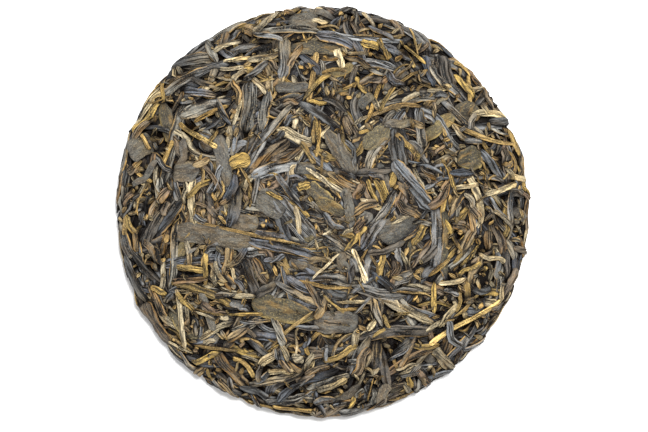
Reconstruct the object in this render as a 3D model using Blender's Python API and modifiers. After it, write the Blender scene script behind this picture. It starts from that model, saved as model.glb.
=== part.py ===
"""A pressed pu erh tea cake: a round, domed disc of whole dried tea leaves.

The cake rests on its flat back, with the face that the leaves show best upwards. The back
has the round hollow that the knot of the pressing bag leaves. The solid is a smaller turned
core with the leaves, buds and stalks of the surface fused on, at their true size.
Units are metres, with +Z up and the origin under the middle of the cake.
"""

import math
import random

import bmesh
import bpy
import numpy as np

# Driving dimensions of the pressed cake
CAKE_RADIUS = 0.1003
FACE_HEIGHT = 0.025
WAIST_HEIGHT = 0.007
FACE_POWER = 2.5
BACK_RADIUS = 0.092
KNOT_RADIUS = 0.029
KNOT_DEPTH = 0.010
CORE_INSET = 0.0016
CORE_LUMPS = 0.0004

# The outline is a little out of round: (waves round the rim, share of the radius, turn in degrees)
OUT_OF_ROUND = ((2, 0.0067, 30.0), (3, 0.0051, -34.0))

# Fineness of the solids
PROFILE_STEPS = 160
CORE_TURNS = 30
CORE_FACE_POINTS = 7
LANDMARK_CUTS = 3
DRAWN_CUTS = 2
SLIVER = 0.000003

# Low waves of the core's surface, in radians per metre across and along, and how far one bends the other
LUMPS_ACROSS = 190.0
LUMPS_ALONG = 170.0
LUMPS_BEND = 2.0

# Leaves drawn by the seeded rule
SEED = 357
FACE_LEAVES = 29
RIM_LEAVES = 32
BACK_LEAVES = 27
CANDIDATES = 24
RIM_STARTS = 0.080
LEAF_LENGTH = (0.018, 0.040)
RIM_LEAF_LENGTH = (0.030, 0.042)
LEAF_WIDTH = (0.0032, 0.0068)
LEAF_THICKNESS = (0.0020, 0.0028)
LEAF_BEND = 45.0
FLAT_FROM = 0.0058
BACK_WIDENING = 1.3

# A leaf's own form: how narrow its ends are, how far they dip, how its top is drawn in and leans
END_SHARE = 0.40
SWELL_REACH = 0.94
SWELL_POWER = 0.8
END_DIP = 0.0013
LEAF_SLOPE = 0.34
LEAN = 0.22
TILT = 0.0004

# How the leaves lie: height of their tops against the pressed surface, and turns away from the rim's line
LANDMARK_TOP = (-0.0002, 0.0004)
DEEP_TOP = (-0.0009, 0.0)
RIM_TOP = (-0.0003, 0.0004)
BACK_TOP = (0.0002, 0.0009)
NEAR_RIM_TURN = 35.0
RIM_TURN = 14.0
RIM_ROWS = (0.0005, 0.0065)
RIM_ROW_PLAY = 0.001
RIM_ANGLE_PLAY = 0.3

# The broad leaf of the back whose pressed face is the resting mount
REST_LEAF = (62.0, 0.0, 90.0, 34.0, 15.0, 0.0)
REST_LEAF_THICKNESS = 0.0032
REST_LEAF_TOP = 0.0009

MM = 0.001

# The largest leaves of the face, as (x mm, y mm, heading degrees, length mm, width mm, bend degrees)
FACE_LANDMARKS = (
    (-52, -12, -10, 38, 9.0, 0),
    (-20, -16, -12, 38, 4.5, 8),
    (-18, -47, -12, 34, 11.0, 0),
    (-13, -4, -48, 30, 9.0, 0),
    (44, 12, -52, 32, 7.0, -12),
    (54, -13, -92, 32, 6.0, -30),
    (59, -17, -90, 34, 3.6, 0),
    (37, -7, 20, 22, 12.0, 0),
    (41, -11, 42, 22, 4.5, 0),
    (24, -10, 55, 20, 6.0, 0),
    (37, -59, 6, 42, 5.5, -10),
    (41, -48, -24, 30, 4.2, -8),
    (28, -38, -8, 28, 5.5, 15),
    (70, -54, 30, 42, 2.6, -14),
    (7, -53, -5, 20, 10.0, 0),
    (2, -33, -6, 32, 5.0, -8),
    (-11, -39, -28, 26, 3.2, 12),
    (-57, -40, -22, 34, 3.6, -25),
    (-71, -20, 86, 38, 3.6, 0),
    (-74, -3, 55, 24, 5.6, 12),
    (-68, -51, -83, 30, 3.0, -14),
    (-51, -57, 28, 22, 3.2, -12),
    (-43, -77, -48, 26, 4.6, 0),
    (-80, -55, -58, 26, 6.0, 12),
    (-91, -33, -66, 26, 5.2, 10),
    (17, -70, 62, 25, 5.0, 10),
    (30, -76, -78, 24, 4.8, 12),
    (-18, -91, 8, 24, 4.5, 10),
    (-2, -79, 18, 26, 4.2, 8),
    (-16, 87, -1, 36, 3.8, -8),
    (-3, 78, 0, 28, 7.0, -8),
    (-9, 92, -5, 16, 8.5, 0),
    (-18, 73, 88, 22, 6.0, 0),
    (-5, 64, 80, 24, 2.8, 0),
    (-45, 88, 28, 24, 5.2, -16),
    (-65, 62, 28, 32, 4.2, -8),
    (-62, 72, 12, 24, 6.0, -14),
    (-56, 48, 15, 27, 6.2, -8),
    (-36, 50, 85, 26, 7.0, 8),
    (-72, 32, 76, 40, 5.0, 10),
    (-85, 45, 48, 22, 4.0, -8),
    (-97, 22, 72, 18, 5.0, 0),
    (-23, 40, 48, 34, 3.8, -10),
    (-25, 26, 42, 25, 6.0, 0),
    (-2, 46, -30, 30, 4.2, -10),
    (-13, 35, -25, 20, 5.2, 0),
    (1, 16, -32, 28, 2.8, 10),
    (-22, 19, 14, 27, 6.0, -10),
    (9, 28, -55, 27, 7.0, 0),
    (26, 19, 4, 21, 4.0, 0),
    (36, 30, -83, 21, 6.2, 0),
    (26, 36, 40, 17, 8.0, 0),
    (38, 50, 12, 42, 4.4, -30),
    (26, 69, -5, 28, 4.2, -50),
    (47, 39, -85, 23, 4.8, 0),
    (20, 85, -6, 44, 2.8, 20),
    (60, 69, -75, 18, 6.2, 0),
    (53, 72, -66, 30, 4.4, 10),
    (69, 61, -48, 16, 3.4, 0),
    (72, 41, -34, 38, 3.0, 34),
    (82, 45, -8, 23, 3.2, -45),
    (71, 26, 20, 14, 11.0, 0),
    (83, 21, -50, 23, 4.0, 0),
    (73, 5, -78, 27, 4.0, -40),
    (86, 0, -52, 22, 4.0, 0),
    (89, -24, -88, 22, 4.0, -10),
)


def cake_profile():
    """Points (radius, height) of the pressed surface, from the middle of the face over the rim to the
    middle of the back: a flattened dome, a quarter ellipse under the waist, the flat back and the
    knot hollow, which is half a cosine wave."""
    turn = np.linspace(0.0, math.pi / 2, PROFILE_STEPS)
    dome_r = CAKE_RADIUS * np.sin(turn) ** (2.0 / FACE_POWER)
    dome_z = WAIST_HEIGHT + (FACE_HEIGHT - WAIST_HEIGHT) * np.cos(turn)
    under_r = BACK_RADIUS + (CAKE_RADIUS - BACK_RADIUS) * np.cos(turn[1:])
    under_z = WAIST_HEIGHT * (1.0 - np.sin(turn[1:]))
    back_r = np.linspace(BACK_RADIUS, KNOT_RADIUS, PROFILE_STEPS)[1:]
    knot_r = np.linspace(KNOT_RADIUS, 0.0, PROFILE_STEPS)[1:]
    knot_z = KNOT_DEPTH * (1.0 + np.cos(math.pi * knot_r / KNOT_RADIUS)) / 2.0
    radius = np.concatenate([dome_r, under_r, back_r, knot_r])
    height = np.concatenate([dome_z, under_z, np.zeros(len(back_r)), knot_z])
    return radius, height


class PressedSurface:
    """The cake's outer surface, measured by the distance along its profile and the angle round it."""

    def __init__(self):
        self.radius, self.height = cake_profile()
        steps = np.hypot(np.diff(self.radius), np.diff(self.height))
        self.along = np.concatenate([[0.0], np.cumsum(steps)])
        self.whole = self.along[-1]
        self.rim = float(np.interp(CAKE_RADIUS, self.radius[:PROFILE_STEPS], self.along[:PROFILE_STEPS]))
        out_r = -np.gradient(self.height, self.along)
        out_z = np.gradient(self.radius, self.along)
        size = np.hypot(out_r, out_z)
        self.out_r, self.out_z = out_r / size, out_z / size

    def distance_of_radius(self, radius):
        """How far along the profile the face reaches this radius."""
        return float(np.interp(radius, self.radius[:PROFILE_STEPS], self.along[:PROFILE_STEPS]))

    def place(self, along, angle, proud):
        """Points this far along the profile, at this angle and this proud of the surface."""
        radius = np.interp(along, self.along, self.radius)
        height = np.interp(along, self.along, self.height)
        out_r = np.interp(along, self.along, self.out_r)
        out_z = np.interp(along, self.along, self.out_z)
        radius = (radius + proud * out_r) * roundness(angle)
        return np.stack([radius * np.cos(angle), radius * np.sin(angle), height + proud * out_z], axis=-1)


def roundness(angle):
    """The rim's radius as a share of a true circle's."""
    share = np.ones_like(angle)
    for waves, depth, turn in OUT_OF_ROUND:
        share = share + depth * np.cos(waves * angle + math.radians(turn))
    return share


def clear_scene():
    """Removes every object of the scene."""
    for thing in list(bpy.data.objects):
        bpy.data.objects.remove(thing, do_unlink=True)


def new_collection(name):
    """A collection linked to the scene."""
    collection = bpy.data.collections.new(name)
    bpy.context.scene.collection.children.link(collection)
    return collection


def tea_material():
    """Matt, dark olive-brown dried leaf."""
    material = bpy.data.materials.new("dried_tea_leaf")
    material.use_nodes = True
    shader = material.node_tree.nodes["Principled BSDF"]
    shader.inputs["Base Color"].default_value = (0.150, 0.122, 0.078, 1.0)
    shader.inputs["Roughness"].default_value = 0.6
    shader.inputs["Metallic"].default_value = 0.0
    return material


def make_core(surface, collection):
    """The turned core, a little inside the pressed surface, with low lumps and the cake's out of round."""
    face = np.linspace(0.0, surface.rim, CORE_FACE_POINTS, endpoint=False)
    knot_edge = surface.whole - math.hypot(KNOT_RADIUS, KNOT_DEPTH)
    under = np.linspace(surface.rim, knot_edge, CORE_FACE_POINTS, endpoint=False)
    knot = np.linspace(knot_edge, surface.whole, CORE_FACE_POINTS // 2 + 1)
    along = np.concatenate([face, under, knot])
    radius = np.interp(along, surface.along, surface.radius)
    height = np.interp(along, surface.along, surface.height)
    radius = radius - CORE_INSET * np.interp(along, surface.along, surface.out_r)
    height = height - CORE_INSET * np.interp(along, surface.along, surface.out_z)
    radius[0] = radius[-1] = 0.0
    points = [(float(r), 0.0, float(z)) for r, z in zip(radius, height)]
    mesh = bpy.data.meshes.new("core_profile")
    mesh.from_pydata(points, [(i, i + 1) for i in range(len(points) - 1)], [])
    profile = bpy.data.objects.new("core_profile", mesh)
    collection.objects.link(profile)
    screw = profile.modifiers.new("turn", "SCREW")
    screw.steps = screw.render_steps = CORE_TURNS
    screw.use_merge_vertices = True
    screw.merge_threshold = 0.0001
    bpy.context.view_layer.update()
    graph = bpy.context.evaluated_depsgraph_get()
    turned = bpy.data.meshes.new_from_object(profile.evaluated_get(graph))
    bpy.data.objects.remove(profile)
    core = bpy.data.objects.new("tea_cake", turned)
    collection.objects.link(core)
    points = mesh_points(turned)
    angle = np.arctan2(points[:, 1], points[:, 0])
    radius = np.hypot(points[:, 0], points[:, 1])
    bend = LUMPS_BEND * np.sin(LUMPS_ALONG * points[:, 1])
    lumps = CORE_LUMPS * np.sin(LUMPS_ACROSS * points[:, 0] + bend)
    points[:, :2] *= roundness(angle)[:, None]
    points[:, 2] += np.where(radius > MM, lumps, 0.0)
    set_mesh_points(turned, points)
    return core


def mesh_points(mesh):
    """The mesh's points as an array of rows."""
    points = np.empty(len(mesh.vertices) * 3, np.float64)
    mesh.vertices.foreach_get("co", points)
    return points.reshape(-1, 3)


def set_mesh_points(mesh, points):
    """Moves the mesh's points to these rows."""
    mesh.vertices.foreach_set("co", points.ravel())
    mesh.update()


def cut_to_lengths(cage, cuts):
    """Cuts a bar of unit size along X into equal lengths and returns it as a mesh."""
    for cut in range(1, cuts + 1):
        place = (cut / (cuts + 1) - 0.5, 0.0, 0.0)
        parts = cage.verts[:] + cage.edges[:] + cage.faces[:]
        bmesh.ops.bisect_plane(cage, geom=parts, plane_co=place, plane_no=(1.0, 0.0, 0.0))
    mesh = bpy.data.meshes.new("blade_blank")
    cage.to_mesh(mesh)
    cage.free()
    return mesh


def flat_blank(cuts):
    """A straight bar with a square section, whose top is drawn in a little: a leaf pressed flat."""
    cage = bmesh.new()
    bmesh.ops.create_cube(cage, size=1.0)
    for vertex in cage.verts:
        vertex.co.y *= 1.0 - LEAF_SLOPE * (vertex.co.z + 0.5)
    return cut_to_lengths(cage, cuts)


def rolled_blank(cuts):
    """A straight bar with a three-sided section and its ridge on top: a leaf rolled along its length."""
    cage = bmesh.new()
    bmesh.ops.create_cone(cage, cap_ends=True, segments=3, radius1=1.0, radius2=1.0, depth=1.0)
    for vertex in cage.verts:
        x, y, z = vertex.co
        vertex.co = (z, x / math.sqrt(3.0), (y - 0.25) / 1.5)
    return cut_to_lengths(cage, cuts)


def bend_leaf(blank, surface, leaf, back):
    """Points of the blank bent into a leaf that lies in the pressed surface.

    The leaf's middle line is an arc on a map of the surface, where the distance from the map's
    middle is the distance along the profile. Its width swells to the middle and narrows to both
    ends, which dip between the others, one side of it is a little higher than the other, and its
    top leans to a side.
    """
    along, side, up = mesh_points(blank).T
    side = side + leaf["lean"] * (up + 0.5)
    swell = END_SHARE + (1.0 - END_SHARE) * np.cos(math.pi * along * SWELL_REACH) ** SWELL_POWER
    across = side * leaf["width"] * swell
    distance = along * leaf["length"]
    curve = math.radians(leaf["bend"]) / leaf["length"]
    if abs(curve) < 1e-6:
        ahead, aside = distance, np.zeros_like(distance)
    else:
        ahead = np.sin(curve * distance) / curve
        aside = (1.0 - np.cos(curve * distance)) / curve
    heading = curve * distance
    ahead = ahead - across * np.sin(heading)
    aside = aside + across * np.cos(heading)
    facing = math.radians(leaf["heading"])
    map_u = leaf["u"] + ahead * math.cos(facing) - aside * math.sin(facing)
    map_v = leaf["v"] + ahead * math.sin(facing) + aside * math.cos(facing)
    proud = leaf["top"] + (up - 0.5) * leaf["thickness"] + leaf["tilt"] * side
    proud = proud - END_DIP * (2.0 * np.abs(along)) ** 4
    far = np.hypot(map_u, map_v)
    if back:
        return surface.place(surface.whole - far, np.arctan2(map_v, -map_u), proud)
    return surface.place(far, np.arctan2(map_v, map_u), proud)


def landmark_leaf(surface, row, draw):
    """One of the listed leaves of the face, which lie on top of the others."""
    x, y, heading, length, width, bend = row
    radius, angle = math.hypot(x, y) * MM, math.atan2(y, x)
    far = surface.distance_of_radius(min(radius, CAKE_RADIUS))
    thickness = draw.uniform(*LEAF_THICKNESS)
    return {
        "u": far * math.cos(angle),
        "v": far * math.sin(angle),
        "heading": heading,
        "length": length * MM,
        "width": width * MM,
        "bend": bend,
        "thickness": thickness,
        "top": draw.uniform(*LANDMARK_TOP),
        "tilt": draw.uniform(-TILT, TILT),
        "lean": draw.uniform(-LEAN, LEAN),
        "cuts": LANDMARK_CUTS,
    }


def drawn_leaf(place, heading, draw, tops, lengths=LEAF_LENGTH):
    """A leaf of the seeded rule at this place on the map."""
    return {
        "u": place[0],
        "v": place[1],
        "heading": heading,
        "length": draw.uniform(*lengths),
        "width": draw.uniform(*LEAF_WIDTH),
        "bend": draw.uniform(-LEAF_BEND, LEAF_BEND),
        "thickness": draw.uniform(*LEAF_THICKNESS),
        "top": draw.uniform(*tops),
        "tilt": draw.uniform(-TILT, TILT),
        "lean": draw.uniform(-LEAN, LEAN),
        "cuts": DRAWN_CUTS,
    }


def widest_gap(taken, far_range, draw):
    """Of several drawn places, the one that lies farthest from the leaves already there."""
    best, best_gap = None, -1.0
    for _ in range(CANDIDATES):
        far = math.sqrt(draw.uniform(far_range[0] ** 2, far_range[1] ** 2))
        angle = draw.uniform(0.0, 2.0 * math.pi)
        place = (far * math.cos(angle), far * math.sin(angle))
        gap = min((math.dist(place, other) for other in taken), default=1.0)
        if gap > best_gap:
            best, best_gap = place, gap
    return best


def face_leaves(surface, draw):
    """The listed leaves and, deeper between them, drawn ones that turn along the rim near it."""
    leaves = [landmark_leaf(surface, row, draw) for row in FACE_LANDMARKS]
    taken = [(leaf["u"], leaf["v"]) for leaf in leaves]
    for _ in range(FACE_LEAVES):
        place = widest_gap(taken, (0.0, surface.rim * 0.98), draw)
        taken.append(place)
        heading = draw.uniform(0.0, 180.0)
        if math.hypot(*place) > RIM_STARTS:
            turn = draw.uniform(-NEAR_RIM_TURN, NEAR_RIM_TURN)
            heading = math.degrees(math.atan2(place[1], place[0])) + 90.0 + turn
        leaves.append(drawn_leaf(place, heading, draw, DEEP_TOP))
    return leaves


def rim_leaves(surface, draw):
    """Leaves that wrap the rim's side in two rows, nearly along it."""
    leaves = []
    for number in range(RIM_LEAVES):
        row = number % len(RIM_ROWS)
        far = surface.rim + RIM_ROWS[row] + draw.uniform(-RIM_ROW_PLAY, RIM_ROW_PLAY)
        angle = 2.0 * math.pi * (number + draw.uniform(-RIM_ANGLE_PLAY, RIM_ANGLE_PLAY)) / RIM_LEAVES
        place = (far * math.cos(angle), far * math.sin(angle))
        heading = math.degrees(angle) + 90.0 + draw.uniform(-RIM_TURN, RIM_TURN)
        leaf = drawn_leaf(place, heading, draw, RIM_TOP, RIM_LEAF_LENGTH)
        leaf["bend"] = math.degrees(leaf["length"] / far)
        leaves.append(leaf)
    return leaves


def back_leaves(surface, draw):
    """Leaves of the back, pressed flat, with the one that carries the resting mount first."""
    x, y, heading, length, width, bend = REST_LEAF
    rest = drawn_leaf((-x * MM, y * MM), heading, draw, BACK_TOP)
    rest.update(length=length * MM, width=width * MM, bend=bend, tilt=0.0)
    rest.update(thickness=REST_LEAF_THICKNESS, top=REST_LEAF_TOP)
    leaves, taken = [rest], [(rest["u"], rest["v"])]
    for _ in range(BACK_LEAVES):
        place = widest_gap(taken, (KNOT_RADIUS, BACK_RADIUS), draw)
        taken.append(place)
        leaf = drawn_leaf(place, draw.uniform(0.0, 180.0), draw, BACK_TOP)
        leaf["width"] *= BACK_WIDENING
        leaves.append(leaf)
    return leaves


def add_leaf(number, leaf, blanks, surface, back, collection):
    """The leaf, rolled or flat by its width, as an object of the collection that is fused to the core."""
    blank = blanks[leaf["cuts"], leaf["width"] >= FLAT_FROM]
    points = bend_leaf(blank, surface, leaf, back)
    mesh = blank.copy()
    set_mesh_points(mesh, points)
    leaf = bpy.data.objects.new(f"leaf_{number:03d}", mesh)
    collection.objects.link(leaf)


def fuse(core, collection):
    """Joins the collection's objects to the core with one Boolean, applied, and removes them."""
    join = core.modifiers.new("fuse leaves", "BOOLEAN")
    join.operation = "UNION"
    join.operand_type = "COLLECTION"
    join.collection = collection
    join.solver = "MANIFOLD"
    apply_modifiers(core)
    for leaf in list(collection.objects):
        bpy.data.objects.remove(leaf, do_unlink=True)
    bpy.data.collections.remove(collection)


def press_flat(core, collection):
    """Cuts the back level where it was pressed on the table."""
    reach = 3.0 * CAKE_RADIUS
    bpy.ops.mesh.primitive_cube_add(size=reach, location=(0.0, 0.0, -reach / 2))
    table = bpy.context.object
    table.name = "table_cutter"
    for holder in list(table.users_collection):
        holder.objects.unlink(table)
    collection.objects.link(table)
    table.hide_render = True
    table.display_type = "WIRE"
    cut = core.modifiers.new("press flat", "BOOLEAN")
    cut.operation = "DIFFERENCE"
    cut.object = table
    cut.solver = "MANIFOLD"
    apply_modifiers(core)
    bpy.data.objects.remove(table, do_unlink=True)


def apply_modifiers(thing):
    """Replaces the object's mesh with its evaluated one."""
    bpy.context.view_layer.update()
    graph = bpy.context.evaluated_depsgraph_get()
    mesh = bpy.data.meshes.new_from_object(thing.evaluated_get(graph))
    thing.modifiers.clear()
    thing.data = mesh


def keep_outer_body(thing):
    """Drops loose scraps and fills the hollows that fusing sealed: only the widest body stays.

    Slivers that a Boolean leaves are closed first, and a body is followed from face to face over
    edges that two faces share, so a scrap that touches the cake at one corner is dropped too.
    """
    cage = bmesh.new()
    cage.from_mesh(thing.data)
    bmesh.ops.triangulate(cage, faces=cage.faces)
    bmesh.ops.dissolve_degenerate(cage, dist=SLIVER, edges=cage.edges)
    left, bodies = set(cage.faces), []
    while left:
        grown, front = set(), [left.pop()]
        while front:
            face = front.pop()
            grown.add(face)
            for edge in face.edges:
                for other in edge.link_faces:
                    if other in left and len(edge.link_faces) == 2:
                        left.remove(other)
                        front.append(other)
        bodies.append(grown)
    widest = max(bodies, key=len)
    scraps = [face for body in bodies if body is not widest for face in body]
    bmesh.ops.delete(cage, geom=scraps, context="FACES")
    cage.to_mesh(thing.data)
    cage.free()


def centre_on_box(thing):
    """Moves the cake so that the middle of its box stands over the origin."""
    points = mesh_points(thing.data)
    middle = (points.min(axis=0) + points.max(axis=0)) / 2
    points[:, 0] -= middle[0]
    points[:, 1] -= middle[1]
    set_mesh_points(thing.data, points)


def build_cake():
    """The whole cake as one solid."""
    clear_scene()
    draw = random.Random(SEED)
    surface = PressedSurface()
    collection = new_collection("pu_erh_tea_cake")
    leaves_collection = new_collection("leaves")
    cutters = new_collection("cutters")
    core = make_core(surface, collection)
    blanks = {}
    for cuts in (LANDMARK_CUTS, DRAWN_CUTS):
        blanks[cuts, False] = rolled_blank(cuts)
        blanks[cuts, True] = flat_blank(cuts)
    front = face_leaves(surface, draw) + rim_leaves(surface, draw)
    back = back_leaves(surface, draw)
    for number, leaf in enumerate(front + back):
        add_leaf(number, leaf, blanks, surface, number >= len(front), leaves_collection)
    fuse(core, leaves_collection)
    press_flat(core, cutters)
    keep_outer_body(core)
    centre_on_box(core)
    core.data.materials.clear()
    core.data.materials.append(tea_material())
    return core


build_cake()
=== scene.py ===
"""Looks of a pressed pu erh tea cake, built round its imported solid.

The cake is a pile of real leaves. They are laid one on another over a flat map of each side, from
the deepest to the ones on top, and the pile is then pressed against the cake's domed form.
Lengths are metres, and the colours of the leaves are sRGB shades from 0 to 255.
"""

import logging
import math
from dataclasses import dataclass, field
from enum import Enum

import bpy
import numpy as np
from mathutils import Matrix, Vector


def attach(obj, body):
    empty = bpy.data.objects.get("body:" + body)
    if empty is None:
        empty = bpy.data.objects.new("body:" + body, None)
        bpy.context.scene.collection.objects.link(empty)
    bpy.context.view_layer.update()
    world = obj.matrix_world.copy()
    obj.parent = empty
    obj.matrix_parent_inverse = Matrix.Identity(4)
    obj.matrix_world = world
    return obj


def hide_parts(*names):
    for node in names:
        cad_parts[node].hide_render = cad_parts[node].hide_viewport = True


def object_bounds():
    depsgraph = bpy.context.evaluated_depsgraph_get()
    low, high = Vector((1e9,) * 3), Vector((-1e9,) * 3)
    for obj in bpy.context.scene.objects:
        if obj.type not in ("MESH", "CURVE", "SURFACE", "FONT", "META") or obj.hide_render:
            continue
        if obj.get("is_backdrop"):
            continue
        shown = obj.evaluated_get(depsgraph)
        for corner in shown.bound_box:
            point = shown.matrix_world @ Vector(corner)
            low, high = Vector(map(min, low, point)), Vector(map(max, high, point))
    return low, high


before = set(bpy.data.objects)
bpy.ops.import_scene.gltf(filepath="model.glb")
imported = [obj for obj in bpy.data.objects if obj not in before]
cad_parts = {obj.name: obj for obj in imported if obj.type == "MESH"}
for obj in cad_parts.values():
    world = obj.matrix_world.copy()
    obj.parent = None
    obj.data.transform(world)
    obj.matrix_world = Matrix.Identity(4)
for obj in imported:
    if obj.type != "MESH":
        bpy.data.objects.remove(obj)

LOG = logging.getLogger("tea_cake")
NODE = "tea_cake"
BODY = "root"
MM = 0.001
Array = np.ndarray
Shade = tuple[int, int, int]
Span = tuple[float, float]
Row = tuple[float, float, float, float, float, float]


class Kind(Enum):
    """The kinds of leaf in the cake, each named as its piece."""

    DARK = "dark_leaves"
    OLIVE = "olive_leaves"
    FLAT = "flat_leaves"
    BROWN = "brown_leaves"
    SLATE = "slate_leaves"
    TAN = "tan_leaves"
    GOLD = "golden_leaves"
    BUD = "pale_buds"
    STALK = "golden_stalks"
    THREAD = "leaf_threads"
    CRUMB = "leaf_crumbs"


class Side(Enum):
    """The two sides of the cake that have a map of their own."""

    FACE = "face"
    BACK = "back"


@dataclass(frozen=True)
class Cut:
    """How one kind of leaf is formed and coloured.

    A boxiness of 1 makes a round section and a smaller one a squarer strip. Rib and fold are the
    width of its lengthwise ribs and the depth of the folds between them, and frays are the
    unevenness of its sides. Channel is the depth of its one wide fold as a share of its half
    thickness. Taper is the share of its length over which an end narrows, point is how pointed its
    ends are, dip is how deep they are tucked into the loose pile, and bend is twice the spread of
    its turn in degrees. Gilt is the share of leaves whose edges are golden. A leaf's colour goes
    from one of the shades to one of the tips.
    """

    slot: str
    length: Span
    width: Span
    thickness: Span
    boxiness: float
    rib: Span
    fold: float
    frays: float
    channel: float
    taper: Span
    point: float
    dip: float
    bend: float
    gilt: float
    shades: tuple[Shade, ...]
    tips: tuple[Shade, ...]


CUTS: dict[Kind, Cut] = {
    Kind.DARK: Cut(
        "slate_leaf", length=(0.014, 0.036), width=(0.0030, 0.0060), thickness=(0.0014, 0.0022),
        boxiness=0.80, rib=(0.0010, 0.0020), fold=0.00045, frays=0.16, channel=0.9,
        taper=(0.08, 0.38), point=0.7, dip=0.004, bend=55, gilt=0.25,
        shades=((58, 61, 65), (66, 67, 67), (66, 62, 57), (52, 57, 64)),
        tips=((84, 74, 56), (88, 82, 70), (118, 98, 64)),
    ),
    Kind.OLIVE: Cut(
        "olive_leaf", length=(0.010, 0.028), width=(0.0034, 0.0075), thickness=(0.0009, 0.0014),
        boxiness=0.55, rib=(0.0040, 0.0070), fold=0.00012, frays=0.22, channel=0.3,
        taper=(0.08, 0.40), point=0.8, dip=0.0015, bend=20, gilt=0.45,
        shades=((92, 86, 69), (80, 77, 66), (112, 102, 75), (86, 81, 71), (100, 90, 68)),
        tips=((128, 108, 67), (79, 77, 70)),
    ),
    Kind.FLAT: Cut(
        "slate_leaf", length=(0.010, 0.022), width=(0.0040, 0.0080), thickness=(0.0009, 0.0014),
        boxiness=0.50, rib=(0.0030, 0.0050), fold=0.00012, frays=0.20, channel=0.2,
        taper=(0.06, 0.25), point=0.5, dip=0.0015, bend=10, gilt=0.35,
        shades=((83, 82, 78), (92, 88, 80), (80, 75, 68), (96, 87, 74), (104, 101, 95)),
        tips=((110, 98, 74), (77, 75, 72)),
    ),
    Kind.BROWN: Cut(
        "brown_leaf", length=(0.012, 0.034), width=(0.0028, 0.0062), thickness=(0.0012, 0.0020),
        boxiness=0.70, rib=(0.0011, 0.0020), fold=0.00042, frays=0.14, channel=0.8,
        taper=(0.05, 0.30), point=0.6, dip=0.0035, bend=35, gilt=0.50,
        shades=((102, 89, 71), (92, 82, 70), (110, 95, 69), (85, 77, 66), (98, 82, 67)),
        tips=((134, 109, 70), (83, 76, 69), (122, 99, 68)),
    ),
    Kind.SLATE: Cut(
        "slate_leaf", length=(0.014, 0.040), width=(0.0022, 0.0056), thickness=(0.0014, 0.0022),
        boxiness=0.70, rib=(0.0011, 0.0021), fold=0.00050, frays=0.16, channel=0.9,
        taper=(0.05, 0.32), point=0.6, dip=0.004, bend=45, gilt=0.70,
        shades=((82, 86, 90), (98, 100, 101), (74, 78, 85), (104, 101, 92), (90, 89, 86)),
        tips=((112, 101, 80), (82, 83, 84), (146, 120, 76)),
    ),
    Kind.TAN: Cut(
        "pale_bud", length=(0.010, 0.032), width=(0.0016, 0.0040), thickness=(0.0012, 0.0019),
        boxiness=0.80, rib=(0.0012, 0.0020), fold=0.00032, frays=0.20, channel=0.8,
        taper=(0.05, 0.32), point=0.6, dip=0.0035, bend=50, gilt=0.30,
        shades=((180, 165, 134), (160, 148, 121), (192, 175, 138), (138, 128, 107)),
        tips=((190, 165, 114), (118, 111, 98)),
    ),
    Kind.GOLD: Cut(
        "golden_stalk", length=(0.009, 0.028), width=(0.0018, 0.0040), thickness=(0.0012, 0.0019),
        boxiness=0.80, rib=(0.0012, 0.0020), fold=0.00030, frays=0.28, channel=0.7,
        taper=(0.05, 0.28), point=0.5, dip=0.002, bend=30, gilt=0.20,
        shades=((158, 131, 72), (144, 119, 64), (172, 144, 79), (126, 105, 60)),
        tips=((188, 156, 86), (118, 96, 58)),
    ),
    Kind.BUD: Cut(
        "pale_bud", length=(0.009, 0.017), width=(0.0024, 0.0040), thickness=(0.0020, 0.0027),
        boxiness=0.95, rib=(0.0009, 0.0013), fold=0.00030, frays=0.06, channel=0.4,
        taper=(0.30, 0.50), point=0.5, dip=0.001, bend=25, gilt=0.10,
        shades=((162, 150, 124), (150, 140, 118), (170, 156, 124)),
        tips=((176, 158, 118), (136, 128, 110)),
    ),
    Kind.STALK: Cut(
        "golden_stalk", length=(0.012, 0.032), width=(0.0016, 0.0025), thickness=(0.0015, 0.0022),
        boxiness=0.90, rib=(0.0006, 0.0010), fold=0.00016, frays=0.06, channel=0.15,
        taper=(0.03, 0.08), point=0.2, dip=0.0015, bend=30, gilt=0.10,
        shades=((172, 144, 88), (150, 124, 74), (190, 162, 102), (130, 109, 72)),
        tips=((192, 166, 108), (132, 110, 70)),
    ),
    Kind.THREAD: Cut(
        "golden_stalk", length=(0.010, 0.030), width=(0.0010, 0.0018), thickness=(0.0011, 0.0016),
        boxiness=0.95, rib=(0.0006, 0.0009), fold=0.00012, frays=0.10, channel=0.1,
        taper=(0.10, 0.30), point=0.7, dip=0.003, bend=90, gilt=0.10,
        shades=((156, 127, 73), (136, 113, 70), (172, 145, 92), (112, 96, 68), (92, 87, 76)),
        tips=((172, 148, 98), (106, 92, 68)),
    ),
    Kind.CRUMB: Cut(
        "tea_leaf", length=(0.0016, 0.0060), width=(0.0008, 0.0026), thickness=(0.0006, 0.0013),
        boxiness=0.55, rib=(0.0008, 0.0012), fold=0.0002, frays=0.40, channel=0.7,
        taper=(0.10, 0.45), point=0.9, dip=0.0012, bend=70, gilt=0.30,
        shades=((92, 86, 72), (106, 93, 66), (130, 107, 66), (72, 72, 70), (114, 102, 78), (88, 74, 58),
                (146, 119, 71), (102, 83, 54), (60, 58, 54)),
        tips=((150, 122, 72), (84, 78, 66)),
    ),
}

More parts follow.
